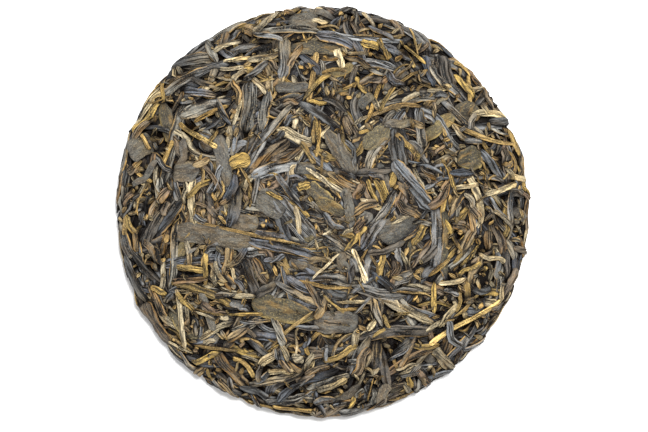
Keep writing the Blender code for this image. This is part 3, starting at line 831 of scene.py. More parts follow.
@dataclass
class LeafPress:
    """Makes the meshes of leaves that lie in a pressed pile.

    Contact is the span of depth under the pile's top over which a leaf gets its painted contact shade,
    underside the span of a ring's falling height over which it gets the painted shade of its
    underside, and deep the span of depth in the pressed cake over which it gets its painted deep
    shade. Channel shade is how dark the wide fold is painted. A leaf wider than frayed is frayed
    less, and thin end is the thickness left at an end, as a share. Fray waves are the waves in a
    centimetre and the sizes of the sines that fray its sides.
    """

    form: CakeForm
    contact: Span = (0.0006, 0.0014)
    underside: Span = (-0.50, 0.15)
    deep: Span = (0.0008, 0.0030)
    frayed: float = 0.0045
    thin_end: float = 0.35
    channel_shade: float = 0.8
    channel_width: float = 0.24
    rib_unevenness: float = 0.35
    fray_waves: tuple[Span, ...] = ((1.1, 0.5), (2.7, 0.35), (5.3, 0.25))

    def parts(self, leaves: Leaves, pile: Pile) -> MeshParts:
        """Meshes of a batch: squared ellipses swept along each middle line, with ribs on top.

        The section at angle a is the cosine and sine of a, each to the power of the leaf's boxiness.
        Each side of the outline is frayed by sines of its own, and the ends thin out with the
        outline. Pressing moves a leaf as a whole, by the height of its middle line, and keeps its
        section. A point gets painted shade where it lies in the wide fold, faces down or has other
        leaves over it.

        Args:
            leaves: The batch, already laid.
            pile: The pile that it lies in.

        Returns:
            The arrays of its mesh.
        """
        cut = CUTS[leaves.kind]
        every, over, under = leaves.detail.value
        u, v, heading, share = leaves.path()
        keep = np.arange(every // 2, STATIONS - 1, every)
        outline = leaves.outline(share)[:, keep]
        turn = np.concatenate([
            np.linspace(0.0, math.pi, over),
            np.linspace(math.pi, 2 * math.pi, under + 2)[1:-1],
        ])
        side = np.sign(np.cos(turn)) * np.abs(np.cos(turn)) ** cut.boxiness
        lift = np.sign(np.sin(turn)) * np.abs(np.sin(turn)) ** cut.boxiness
        frays = cut.frays * np.minimum(1.0, self.frayed / leaves.width)[:, None, None]
        fray = 1.0 + frays * self.fray(leaves, share[keep])
        longer = 0.55 + 0.9 * leaves.phase[:, :2]
        left = leaves.outline(share, longer)[:, keep] * fray[:, :, 0]
        right = leaves.outline(share, 2.0 - longer)[:, keep] * fray[:, :, 1]
        sided = np.where(side[None, None] > 0, left[:, :, None], right[:, :, None])
        aside = leaves.width[:, None, None] / 2 * side[None, None] * sided
        across = np.broadcast_to((leaves.width[:, None, None] / 2) * side[None, None], aside.shape)
        ribs, groove = self.ribs(leaves, share[keep], across)
        body = leaves.thickness[:, None] / 2 * (self.thin_end + (1.0 - self.thin_end) * outline)
        fold = cut.fold * outline[:, :, None] * np.clip(lift, 0.0, 1.0) ** 0.5
        channel = self.channel(leaves, share[keep], side) * np.clip(lift, 0.0, 1.0)
        dome = body[:, :, None] * (lift[None, None] - cut.channel * channel)
        section = dome - fold * groove + leaves.roll[:, keep, None] * aside
        middle = leaves.bed[:, keep] + body
        top = pile.press(u[:, keep], v[:, keep], middle + body) - body
        proud = top[:, :, None] + section
        map_u = u[:, keep, None] - np.sin(heading[:, keep, None]) * aside
        map_v = v[:, keep, None] + np.cos(heading[:, keep, None]) * aside
        count, rings, around = proud.shape
        ends = np.stack([u[:, [0, -1]], v[:, [0, -1]], top[:, [0, -1]]], axis=-1)
        rows = np.stack([map_u, map_v, proud], axis=-1).reshape(count, rings * around, 3)
        rows = np.concatenate([rows, ends], axis=1).reshape(-1, 3)
        points = self.form.from_map(leaves.side, rows[:, 0], rows[:, 1], rows[:, 2])
        # Painted shade: darker in the wide fold, where the section faces down, and where other leaves lie
        # over or higher.
        shaded = np.maximum(self.channel_shade * channel * cut.channel,
                            smooth(-lift, *self.underside)[None, None])
        covered = pile.at(pile.height, map_u, map_v) - middle[:, :, None] - section
        shaded = np.maximum(shaded, smooth(covered, *self.contact))
        carried = self.dress(leaves, share[keep], side, lift, shaded, ribs, across, rows[:, 2])
        return MeshParts(points, *tube_faces(count, rings, around), *carried)

    def fray(self, leaves: Leaves, share: Array) -> Array:
        """Unevenness of both sides of the outline, each a sum of three sines along the leaf.

        Args:
            leaves: The batch.
            share: The rings' shares of the length.

        Returns:
            The unevenness of every leaf at every ring, for its left and its right side.
        """
        wave = 2 * math.pi * leaves.phase
        length = leaves.length[:, None] / 0.01
        fray = np.zeros((len(leaves.u), len(share), 2))
        for number, (rate, size) in enumerate(self.fray_waves):
            turns = 2 * math.pi * rate * length * share[None]
            fray[..., 0] += size * np.sin(turns + wave[:, number : number + 1])
            fray[..., 1] += size * np.sin(turns * 1.13 + wave[:, number + 3 : number + 4])
        return fray

    def channel(self, leaves: Leaves, share: Array, side: Array) -> Array:
        """The one wide fold along each leaf: a bell curve across it, which wanders along it.

        Args:
            leaves: The batch.
            share: The rings' shares of the length.
            side: Place of each point of a ring across the leaf, from -1 to 1.

        Returns:
            How far each point lies in the fold, from 0 to 1.
        """
        phase = leaves.phase[:, :, None, None]
        wander = 0.5 * phase[:, 4] * np.sin(5.0 * share[None, :, None] + 6.0 * phase[:, 3])
        middle = 1.2 * (phase[:, 0] - 0.5) + wander
        aside = (side[None, None] - middle) / self.channel_width
        return (0.3 + 0.7 * phase[:, 5]) * np.exp(-(aside**2))

    def ribs(self, leaves: Leaves, share: Array, across: Array) -> tuple[Array, Array]:
        """Lengthwise ribs with sharp grooves between them.

        The count of ribs from the middle line is the place across over the rib's width, moved by a
        slow drift and a sway along the leaf, and by a sine of itself that makes ribs uneven in width.
        A groove's depth is 1 less the size of its sine, times a share of its own from another sine.

        Args:
            leaves: The batch.
            share: The rings' shares of the length.
            across: Place of each point across the leaf in metres, where the leaf is widest.

        Returns:
            The count of ribs, and how far each point lies in a groove, from 0 to 1.
        """
        phase = leaves.phase[:, :, None, None]
        along = share[None, :, None]
        drift = 3.0 * (phase[:, 3] - 0.5) * along + 0.25 * np.sin(5.0 * along + 6.0 * phase[:, 4])
        ribs = across / leaves.rib[:, None, None] + drift + 7.0 * phase[:, 5]
        ribs = ribs + self.rib_unevenness * np.sin(2.1 * ribs + 6.0 * phase[:, 1])
        share_of_each = 0.60 + 0.40 * np.sin(5.3 * np.round(ribs) + 2.0 * along + 6.0 * phase[:, 2])
        return ribs, share_of_each * (1.0 - np.abs(np.sin(math.pi * ribs)))

    def dress(self, leaves: Leaves, share: Array, side: Array, lift: Array, shaded: Array, ribs: Array,
              across: Array, proud: Array) -> tuple[Array, Array, Array, Array]:
        """What the points of a batch carry for its material.

        The tint goes from the leaf's shade to its tip's. The gilt and shade are the golden edge, the
        painted shade and the painted deep shade, by depth in the cake. The pattern is the place on
        the leaf in millimetres, and the ribs are their count and the place along.

        Args:
            leaves: The batch.
            share: The rings' shares of the length.
            side: Place of each point of a ring across the leaf, from -1 to 1.
            lift: Height of each point of a ring, from -1 to 1.
            shaded: How dark each point is painted, as shade of the wide fold, its underside or leaves over
                it.
            ribs: The count of ribs at each point.
            across: Place of each point across the leaf in metres, where the leaf is widest.
            proud: Height of each point over the pressed surface.

        Returns:
            The tint, the marks, the pattern and the ribs of every point.
        """
        count, rings, around = shaded.shape
        shift = leaves.phase[:, 5, None, None] * 0.6 - 0.1
        to_tip = smooth(share[None, :, None] - shift, 0.15, 0.75)
        low, high = leaves.shade[:, None, None], leaves.tip[:, None, None]
        tint = np.broadcast_to(low + (high - low) * to_tip[..., None], (count, rings, around, 3))
        golden_side = np.sign(leaves.phase[:, 4] - 0.5)[:, None, None]
        edge = smooth(golden_side * side[None, None], 0.66, 0.92) * smooth(lift, -0.3, 0.1)
        gilt_and_shade = np.zeros((count, rings, around, 3))
        gilt_and_shade[..., 0] = edge * leaves.gilt[:, None, None]
        gilt_and_shade[..., 1] = shaded
        ahead = np.broadcast_to((share * leaves.length[:, None] / MM)[:, :, None], across.shape)
        pattern = np.stack([ahead, across / MM], axis=-1) + 90.0 * leaves.phase[:, None, None, :2]
        first_rib = np.floor(400.0 * leaves.phase[:, 0, None, None])
        lines = np.stack([ribs + first_rib, pattern[..., 0]], axis=-1)
        flat = [array.reshape(count, rings * around, -1) for array in (tint, gilt_and_shade, pattern, lines)]
        full = [np.concatenate([array, array[:, [0, -1]]], axis=1).reshape(-1, array.shape[-1])
                for array in flat]
        # Painted deep shade: the deeper a point lies under the pressed surface, the darker it is painted.
        full[1][:, 2] = smooth(-proud, *self.deep)
        return full[0], full[1], full[2], full[3]


@dataclass
class TeaLeaves:
    """All the leaves of the cake, from the deep ones up to the crumbs in the gaps.

    Deep, upper, bits and crumbs are how many are drawn for each side, over so many rounds. Flow is
    how the drawn leaves of the face follow the landmarks: the share that does, and its spread in
    degrees. Covers are the small leaves laid over ends of landmarks. Tones make the landmarks of a
    kind lighter or darker than its drawn leaves.
    """

    form: CakeForm
    seed: int = 357
    deep: dict[Side, int] = field(default_factory=lambda: {Side.FACE: 760, Side.BACK: 360})
    upper: dict[Side, int] = field(default_factory=lambda: {Side.FACE: 800, Side.BACK: 420})
    crumbs: dict[Side, int] = field(default_factory=lambda: {Side.FACE: 700, Side.BACK: 400})
    bits: dict[Side, int] = field(default_factory=lambda: {Side.FACE: 330, Side.BACK: 140})
    rim_band: float = 0.0075
    rim_starts: float = 0.084
    flow_share: float = 0.75
    flow_spread: float = 24.0
    covers: int = 60
    cover_length: Span = (0.008, 0.016)
    cover_turn: Span = (30.0, 150.0)
    bit_length: Span = (0.006, 0.020)
    narrowed: float = 0.75
    deep_rounds: int = 3
    upper_rounds: int = 3
    bit_rounds: int = 4
    bits_inside: float = 0.003
    crumbs_inside: float = 0.006
    back_inside: float = 0.004
    sway: dict[Side, float] = field(default_factory=lambda: {Side.FACE: 15.0, Side.BACK: 10.0})
    most_sway: float = 28.0
    landmark_sway: float = 0.3
    tilt: float = 0.06
    crumb_tilt: float = 0.35
    tones: dict[Kind, float] = field(default_factory=lambda: {
        Kind.OLIVE: 0.93, Kind.FLAT: 0.85, Kind.TAN: 1.18, Kind.GOLD: 1.14, Kind.STALK: 1.32})

    def __post_init__(self) -> None:
        """Starts the seeded draws and the two piles."""
        self.draw = np.random.default_rng(self.seed)
        self.piles = {
            Side.FACE: Pile(Side.FACE, self.form.rim + 0.024),
            Side.BACK: Pile(Side.BACK, self.form.whole - self.form.rim + 0.010),
        }
        self.batches: list[Leaves] = []

    def pick(self, kind: Kind, side: Side, count: int, detail: Detail) -> Leaves:
        """Leaves of one kind with drawn sizes and shades, all at the middle of the map.

        Args:
            kind: Their kind.
            side: The side of the cake.
            count: How many.
            detail: How finely they are formed.

        Returns:
            The batch, still to be placed.
        """
        cut, draw = CUTS[kind], self.draw
        shades, tips = np.array(cut.shades, float), np.array(cut.tips, float)
        shade = shades[draw.integers(len(shades), size=count)] * draw.normal(1.0, 0.09, (count, 1))
        tip = tips[draw.integers(len(tips), size=count)] * draw.normal(1.0, 0.06, (count, 1))
        mix = draw.uniform(0.0, 1.0, (count, 1)) ** 1.5
        leaves = Leaves(
            u=np.zeros(count),
            v=np.zeros(count),
            heading=draw.uniform(0.0, 360.0, count),
            length=draw.uniform(*cut.length, count),
            width=draw.uniform(*cut.width, count),
            thickness=draw.uniform(*cut.thickness, count),
            bend=draw.normal(0.0, cut.bend / 2, count),
            taper=draw.uniform(*cut.taper, (count, 2)),
            gilt=(draw.uniform(0.0, 1.0, count) < cut.gilt) * draw.uniform(0.4, 1.0, count),
            shade=linear(shade),
            tip=linear(shade + (tip - shade) * mix),
            rib=draw.uniform(*cut.rib, count),
            kind=kind,
            side=side,
            detail=detail,
        )
        leaves.phase = draw.uniform(0.0, 1.0, (count, 6))
        leaves.sway = np.clip(draw.normal(0.0, self.sway[side], count), -self.most_sway, self.most_sway)
        leaves.tilt = draw.normal(0.0, self.crumb_tilt if kind is Kind.CRUMB else self.tilt, count)
        return leaves

    def reach(self, side: Side, inside: float) -> float:
        """How far from the middle of a side's map drawn leaves may lie.

        Args:
            side: The side of the cake.
            inside: How far inside the rim they stay on the face.

        Returns:
            The largest distance.
        """
        if side is Side.BACK:
            return self.form.whole - self.form.rim - self.back_inside
        return self.form.rim - inside

    def add(self, leaves: Leaves, stays_clear: bool = False) -> None:
        """Lays a batch that has its places, and keeps it.

        Args:
            leaves: The batch.
            stays_clear: Whether crumbs and bits keep off these leaves.
        """
        self.piles[leaves.side].lay(leaves, stays_clear)
        self.batches.append(leaves)

    def low_places(self, side: Side, count: int, reach: float, tries: int = 6) -> tuple[Array, Array]:
        """Drawn places on the map, each the lowest in the pile of several tries.

        A landmark counts as higher than anything else, so that few leaves come to lie on one.

        Args:
            side: The side of the cake.
            count: How many places.
            reach: Largest distance from the middle of the map.
            tries: Places drawn for each one kept.

        Returns:
            The two coordinates of each place.
        """
        far = reach * np.sqrt(self.draw.uniform(0.0, 1.0, (tries, count)))
        angle = self.draw.uniform(0.0, 2 * math.pi, (tries, count))
        u, v = far * np.cos(angle), far * np.sin(angle)
        pile = self.piles[side]
        lowest = np.argmin(pile.at(pile.height + pile.out_of_reach * pile.clear, u, v), axis=0)
        each = np.arange(count)
        return u[lowest, each], v[lowest, each]

    def scatter(self, kind: Kind, side: Side, count: int, detail: Detail) -> None:
        """Lays drawn leaves of one kind on low places, along the rim where they are near it.

        Args:
            kind: Their kind.
            side: The side of the cake.
            count: How many.
            detail: How finely they are formed.
        """
        reach = self.reach(side, -self.rim_band)
        leaves = self.pick(kind, side, count, detail)
        leaves.u, leaves.v = self.low_places(side, count, reach)
        far, angle = np.hypot(leaves.u, leaves.v), np.degrees(np.arctan2(leaves.v, leaves.u))
        if side is Side.FACE:
            self.follow_landmarks(leaves)
            near = smooth(far, self.rim_starts, self.form.rim - 0.002)
        else:
            near = smooth(far, reach - 0.012, reach)
        turned = angle + 90.0 + (np.mod(leaves.heading, 180.0) - 90.0) * (1.0 - 0.8 * near)
        leaves.heading = np.where(near > 0.0, turned, leaves.heading)
        leaves.bend = leaves.bend * (1.0 - near) + near * np.degrees(leaves.length / np.maximum(far, 0.02))
        self.add(leaves)

    def follow_landmarks(self, leaves: Leaves) -> None:
        """Turns most drawn leaves of the face nearly along the landmark that lies nearest to each.

        Args:
            leaves: The drawn leaves, already at their places.
        """
        rows = np.array([row for rows in LANDMARKS.values() for row in rows if row[3] > 12], float)
        u, v = self.form.face_map(rows[:, 0] * MM, rows[:, 1] * MM)
        apart = np.hypot(leaves.u[:, None] - u, leaves.v[:, None] - v)
        nearest = np.argmin(apart + self.draw.exponential(0.004, apart.shape), axis=1)
        flow = rows[nearest, 2] + self.draw.normal(0.0, self.flow_spread, len(nearest))
        follows = self.draw.uniform(0.0, 1.0, len(nearest)) < self.flow_share
        leaves.heading = np.where(follows, flow, leaves.heading)

    def add_landmarks(self) -> None:
        """Lays the leaves that stand out on the face, kind by kind, over the drawn ones."""
        for kind, rows in LANDMARKS.items():
            leaves = self.pick(kind, Side.FACE, len(rows), Detail.TOP)
            leaves.sway *= self.landmark_sway
            x, y, heading, length, width, bend = np.array(rows, float).T
            leaves.bend = bend
            leaves.u, leaves.v, leaves.heading, stretch = self.span(x, y, heading, length)
            leaves.length = stretch * length * MM
            widened = self.span(x, y, heading + 90.0, width)[3]
            leaves.width = np.minimum(widened, 1.5) * width * MM
            tone = self.tones.get(kind, 1.0)
            leaves.shade, leaves.tip = tone * leaves.shade, tone * leaves.tip
            order = np.argsort(-leaves.length * leaves.width)
            for name in ("u", "v", "heading", "bend", "length", "width"):
                setattr(leaves, name, getattr(leaves, name)[order])
            self.add(leaves, stays_clear=True)

    def span(self, x: Array, y: Array, heading: Array, length: Array) -> tuple[Array, Array, Array, Array]:
        """Where straight lines seen from above lie on the face's map, worked out from both their ends.

        Args:
            x: Millimetres from the middle to the right.
            y: Millimetres from the middle up.
            heading: Direction of each line in degrees.
            length: Length of each line in millimetres.

        Returns:
            The middle's two coordinates on the map, the heading there, and how much longer the line is.
        """
        half_x = np.cos(np.radians(heading)) * length / 2
        half_y = np.sin(np.radians(heading)) * length / 2
        u0, v0 = self.form.face_map((x - half_x) * MM, (y - half_y) * MM)
        u1, v1 = self.form.face_map((x + half_x) * MM, (y + half_y) * MM)
        turned = np.degrees(np.arctan2(v1 - v0, u1 - u0))
        return (u0 + u1) / 2, (v0 + v1) / 2, turned, np.hypot(u1 - u0, v1 - v0) / (length * MM)

    def cover_ends(self) -> None:
        """Lays small drawn leaves across ends of rolled leaves on top, which so come up from under them."""
        places = []
        for leaves in self.batches:
            if leaves.kind not in (Kind.DARK, Kind.BROWN, Kind.SLATE) or leaves.detail is not Detail.TOP:
                continue
            u, v, heading, _ = leaves.path()
            for end in (2, STATIONS - 3):
                places.append(np.stack([u[:, end], v[:, end], np.degrees(heading[:, end])], axis=-1))
        places = np.concatenate(places)
        places = places[np.hypot(places[:, 0], places[:, 1]) < self.rim_starts]
        chosen = self.draw.permutation(len(places))[: self.covers]
        start = 0
        for kind, share in COVER_MIX.items():
            count = round(share * self.covers)
            u, v, heading = places[chosen[start : start + count]].T
            leaves = self.pick(kind, Side.FACE, len(u), Detail.MIDDLE)
            leaves.u, leaves.v = u, v
            leaves.heading = heading + self.draw.uniform(*self.cover_turn, len(u))
            leaves.length = self.draw.uniform(*self.cover_length, len(u))
            leaves.width = leaves.width * self.narrowed
            self.add(leaves)
            start += count

    def grow(self) -> None:
        """Lays every leaf of both sides and closes the piles.

        Each side gets deep leaves, then the upper ones. The face also gets its landmarks and their
        covers. Broken bits and crumbs then fill the gaps by turns.
        """
        small = (Kind.GOLD, Kind.BUD, Kind.STALK, Kind.THREAD)
        for side in Side:
            detail = Detail.TOP if side is Side.FACE else Detail.UNDER
            for _ in range(self.deep_rounds):
                for kind, share in DEEP_MIX.items():
                    self.scatter(kind, side, round(self.deep[side] * share / self.deep_rounds), Detail.DEEP)
            for _ in range(self.upper_rounds):
                for kind, share in UPPER_MIX.items():
                    fine = Detail.MIDDLE if kind in small and side is Side.FACE else detail
                    self.scatter(kind, side, round(self.upper[side] * share / self.upper_rounds), fine)
            if side is Side.FACE:
                self.add_landmarks()
                self.cover_ends()
            for _ in range(self.bit_rounds):
                for kind, share in BITS_MIX.items():
                    self.scatter_bits(kind, side, round(self.bits[side] * share / self.bit_rounds))
                self.scatter_crumbs(side, self.crumbs[side] // self.bit_rounds)
            self.piles[side].close()

    def scatter_bits(self, kind: Kind, side: Side, count: int) -> None:
        """Lays short broken leaves of one kind in the gaps.

        Args:
            kind: Their kind.
            side: The side of the cake.
            count: How many.
        """
        detail = Detail.MIDDLE if side is Side.FACE else Detail.DEEP
        leaves = self.pick(kind, side, count, detail)
        leaves.u, leaves.v = self.low_places(side, count, self.reach(side, self.bits_inside))
        if side is Side.FACE:
            self.follow_landmarks(leaves)
        leaves.length = self.draw.uniform(*self.bit_length, count)
        leaves.width = np.minimum(leaves.width * self.narrowed, leaves.length * 0.5)
        leaves.thickness = leaves.thickness * 0.8
        self.add(leaves)

    def scatter_crumbs(self, side: Side, count: int) -> None:
        """Drops crumbs of leaf into the lowest gaps.

        Args:
            side: The side of the cake.
            count: How many.
        """
        leaves = self.pick(Kind.CRUMB, side, count, Detail.SMALL)
        leaves.u, leaves.v = self.low_places(side, count, self.reach(side, self.crumbs_inside), tries=7)
        self.add(leaves)

    def build(self) -> dict[str, MeshParts]:
        """The arrays of every piece, one for each kind and side.

        Returns:
            The arrays by the piece's name.
        """
        self.grow()
        press = LeafPress(self.form)
        found: dict[str, list[MeshParts]] = {}
        for leaves in self.batches:
            name = f"{leaves.kind.value}_{leaves.side.value}"
            found.setdefault(name, []).append(press.parts(leaves, self.piles[leaves.side]))
        return {name: join_parts(parts) for name, parts in found.items()}


@dataclass
class Core:
    """The packed inside of the cake, with the relief of broken leaf, that shows in the gaps, painted nearly
    black as painted shade.
    """

    form: CakeForm
    piles: dict[Side, Pile]
    along: int = 120
    around: int = 200
    # Dark tint of the packed leaf; the painted deep shade set below paints the whole core nearly black, as
    # shade in the gaps.
    shade: Shade = (38, 34, 28)
    deepest: float = 0.0042
    relief: float = 0.0005
    ridge_sets: int = 5

    def build(self) -> MeshParts:
        """One closed turned surface under the piles.

        Its depth is where the bare map ends up in the pressed pile, no deeper than deepest, mixed
        from the face's map to the back's under the rim. Sets of wavy ridges, 1 less the size of a
        sine, cross it in directions of their own.

        Returns:
            The arrays of its mesh.
        """
        form = self.form
        far = np.linspace(0.0, form.whole, self.along + 2)[1:-1, None]
        angle = (np.arange(self.around) * 2 * math.pi / self.around)[None]
        far, angle = np.broadcast_arrays(far, angle)
        face = self.piles[Side.FACE].press(far * np.cos(angle), far * np.sin(angle), np.zeros_like(far))
        back_far = form.whole - far
        back = self.piles[Side.BACK].press(-back_far * np.cos(angle), back_far * np.sin(angle),
                                           np.zeros_like(far))
        share = smooth(far, form.rim + 0.002, form.rim + 0.009)
        depth = face + (back - face) * share
        flat_x, flat_y = far * np.cos(angle), far * np.sin(angle)
        ridges = np.zeros_like(far)
        for number in range(self.ridge_sets):
            turn = 0.4 + number * 0.71
            line = flat_x * math.cos(turn) + flat_y * math.sin(turn)
            across = flat_y * math.cos(turn) - flat_x * math.sin(turn)
            bent = line + 0.004 * np.sin(160.0 * across + number)
            ridges += 1.0 - np.abs(np.sin((420.0 + 90.0 * number) * bent))
        middle = self.ridge_sets / 2
        depth = np.maximum(depth, -self.deepest) + self.relief * (ridges - middle) / middle
        points = form.place(far, angle, depth).reshape(-1, 3)
        poles = form.place(np.array([0.0, form.whole]), np.zeros(2), depth[[0, -1], 0])
        poles[:, :2] = 0.0
        points = np.concatenate([points, poles])
        quads, triangles = tube_faces(1, self.along, self.around)
        tint = np.broadcast_to(linear(np.array(self.shade)), (len(points), 3))
        gilt_and_shade = np.zeros((len(points), 3))
        # Painted deep shade over the whole core, so that the gaps show nearly black.
        gilt_and_shade[:, 2] = 1.0
        place = points[:, :2] / MM
        return MeshParts(points, quads, triangles, tint, gilt_and_shade, place, place)


class Sheet:
    """A node tree that is filled in call by call."""

    def __init__(self, tree: bpy.types.NodeTree) -> None:
        """Keeps the tree.

        Args:
            tree: The tree of a material or a group.
        """
        self.tree = tree

    def add(self, kind: str, inputs: dict | None = None, **settings: object) -> bpy.types.Node:
        """Adds a node, with its settings, and values or sockets for its inputs.

        Args:
            kind: The node's type.
            inputs: Values and output sockets by the input's name or number.
            settings: Properties of the node.

        Returns:
            The node.
        """
        node = self.tree.nodes.new(kind)
        for name, value in settings.items():
            setattr(node, name, value)
        for name, value in (inputs or {}).items():
            if isinstance(value, bpy.types.NodeSocket):
                self.tree.links.new(value, node.inputs[name])
            else:
                node.inputs[name].default_value = value
        return node

    def maths(self, operation: str, first: object, second: object = 0.0) -> bpy.types.NodeSocket:
        """The result of a sum on one or two values or sockets.

        Args:
            operation: The sum.
            first: First value or socket.
            second: Second value or socket.

        Returns:
            The socket of the result.
        """
        return self.add("ShaderNodeMath", {0: first, 1: second}, operation=operation).outputs[0]

    def ramp(self, value: object, low: float, high: float, to_low: float = 0.0,
             to_high: float = 1.0) -> bpy.types.NodeSocket:
        """The value moved smoothly from one range to another and held at its ends.

        Args:
            value: The value or socket.
            low: Where the range starts.
            high: Where it ends.
            to_low: The result at its start.
            to_high: The result at its end.

        Returns:
            The socket of the result.
        """
        node = self.add("ShaderNodeMapRange", {0: value, 1: low, 2: high, 3: to_low, 4: to_high},
                        interpolation_type="SMOOTHSTEP")
        return node.outputs[0]

    def blend(self, share: object, first: object, second: object,
              mode: str = "MIX") -> bpy.types.NodeSocket:
        """Two colours mixed by a share.

        Args:
            share: How much of the second colour there is.
            first: First colour or socket.
            second: Second colour or socket.
            mode: How they are mixed.

        Returns:
            The socket of the mixed colour.
        """
        node = self.add("ShaderNodeMix", {0: share, 6: first, 7: second}, data_type="RGBA", blend_type=mode)
        return node.outputs[2]


def new_group(name: str, takes: dict[str, tuple[str, object]],
              gives: dict[str, str]) -> tuple[bpy.types.NodeTree, Sheet, bpy.types.Node, bpy.types.Node]:
    """An empty shader group with its sockets.

    Args:
        name: The group's name.
        takes: Kind and standing value of each input by name.
        gives: Kind of each output by name.

    Returns:
        The group, a sheet for it, and its input and output nodes.
    """
    tree = bpy.data.node_groups.new(name, "ShaderNodeTree")
    for label, (kind, value) in takes.items():
        socket = tree.interface.new_socket(name=label, in_out="INPUT", socket_type=kind)
        socket.default_value = value
    for label, kind in gives.items():
        tree.interface.new_socket(name=label, in_out="OUTPUT", socket_type=kind)
    sheet = Sheet(tree)
    return tree, sheet, sheet.add("NodeGroupInput"), sheet.add("NodeGroupOutput")


def rib_group() -> bpy.types.NodeTree:
    """Lengthwise ribs of a rolled leaf, each with a tone of its own, and the folds between them, where
    painted shade goes.

    Returns:
        The group, which takes Wander and gives Tone, Fold and Height, each from 0 to 1.
    """
    tree, sheet, into, out = new_group(
        "leaf_ribs", {"Wander": ("NodeSocketFloat", 1.6)},
        {"Tone": "NodeSocketFloat", "Fold": "NodeSocketFloat", "Height": "NodeSocketFloat"},
    )
    place = sheet.add("ShaderNodeUVMap", uv_map="leaf_ribs").outputs[0]
    split = sheet.add("ShaderNodeSeparateXYZ", {0: place}).outputs
    stretched = sheet.add("ShaderNodeMapping", {"Vector": place, "Scale": (0.7, 0.08, 1.0)}).outputs[0]
    noise = sheet.add("ShaderNodeTexNoise", {"Vector": stretched, "Scale": 1.0, "Detail": 2.0}).outputs[0]
    moved = sheet.maths("MULTIPLY", sheet.maths("SUBTRACT", noise, 0.5), into.outputs["Wander"])
    ribs = sheet.maths("ADD", split[0], moved)
    number, border = sheet.maths("FLOOR", ribs), sheet.maths("ROUND", ribs)
    apart = sheet.maths("ABSOLUTE", sheet.maths("SUBTRACT", ribs, border))
    own = []
    for count, pace in ((number, 0.06), (border, 0.09)):
        spot = sheet.add("ShaderNodeCombineXYZ", {0: sheet.maths("MULTIPLY", count, 3.7),
                                                  1: sheet.maths("MULTIPLY", split[1], pace)}).outputs[0]
        level = sheet.add("ShaderNodeTexNoise", {"Vector": spot, "Scale": 1.0, "Detail": 1.0}).outputs[0]
        own.append(sheet.ramp(level, 0.36, 0.56))
    fold = sheet.maths("MULTIPLY", sheet.ramp(apart, 0.04, 0.20, 1.0, 0.0), own[1])
    sunk = sheet.maths("MULTIPLY", sheet.ramp(apart, 0.0, 0.38, 1.0, 0.0), own[1])
    height = sheet.maths("SUBTRACT", 1.0, sunk)
    sheet.tree.links.new(own[0], out.inputs["Tone"])
    sheet.tree.links.new(fold, out.inputs["Fold"])
    sheet.tree.links.new(height, out.inputs["Height"])
    return tree


def grain_group() -> bpy.types.NodeTree:
    """Dried leaf's lengthwise lines, blotches, specks, stains and creases, from the place on the leaf.

    Creases are thin lines, where a noise that is stretched along the leaf passes its middle value,
    and they get painted shade.

    Returns:
        The group, which takes Fineness and gives Lines, Blotch, Speck, Stain and Crease, from 0 to 1.
    """
    tree, sheet, into, out = new_group(
        "dried_leaf_grain",
        {"Fineness": ("NodeSocketFloat", 1.4)},
        {"Lines": "NodeSocketFloat", "Blotch": "NodeSocketFloat", "Speck": "NodeSocketFloat",
         "Stain": "NodeSocketFloat", "Crease": "NodeSocketFloat"},
    )
    place = sheet.add("ShaderNodeUVMap", uv_map="leaf_pattern").outputs[0]
    long_way = sheet.add("ShaderNodeMapping", {"Vector": place, "Scale": (0.06, 1.0, 1.0)}).outputs[0]
    lines = sheet.add("ShaderNodeTexNoise", {"Vector": long_way, "Scale": into.outputs["Fineness"],
                                             "Detail": 4.0, "Roughness": 0.65})
    half_way = sheet.add("ShaderNodeMapping", {"Vector": place, "Scale": (0.45, 1.0, 1.0)}).outputs[0]
    blotch = sheet.add("ShaderNodeTexNoise", {"Vector": half_way, "Scale": 0.4, "Detail": 3.0})
    speck = sheet.add("ShaderNodeTexNoise",
                      {"Vector": place, "Scale": 1.2, "Detail": 3.0, "Roughness": 0.7})
    third_way = sheet.add("ShaderNodeMapping", {"Vector": place, "Location": (31.0, 17.0, 5.0),
                                                "Scale": (0.30, 0.8, 1.0)}).outputs[0]
    stain = sheet.add("ShaderNodeTexNoise", {"Vector": third_way, "Scale": 0.35, "Detail": 3.0})
    sheet.tree.links.new(sheet.ramp(lines.outputs[0], 0.34, 0.66), out.inputs["Lines"])
    sheet.tree.links.new(sheet.ramp(blotch.outputs[0], 0.44, 0.60), out.inputs["Blotch"])
    sheet.tree.links.new(sheet.ramp(stain.outputs[0], 0.50, 0.62), out.inputs["Stain"])
    sheet.tree.links.new(sheet.ramp(speck.outputs[0], 0.50, 0.68), out.inputs["Speck"])
    wrinkled = sheet.add("ShaderNodeMapping", {"Vector": place, "Location": (7.0, 43.0, 9.0),
                                               "Scale": (0.28, 0.9, 1.0)}).outputs[0]
    level = sheet.add("ShaderNodeTexNoise", {"Vector": wrinkled, "Scale": 0.8, "Detail": 2.0}).outputs[0]
    apart = sheet.maths("ABSOLUTE", sheet.maths("SUBTRACT", level, 0.5))
    sheet.tree.links.new(sheet.ramp(apart, 0.005, 0.040, 1.0, 0.0), out.inputs["Crease"])
    return tree


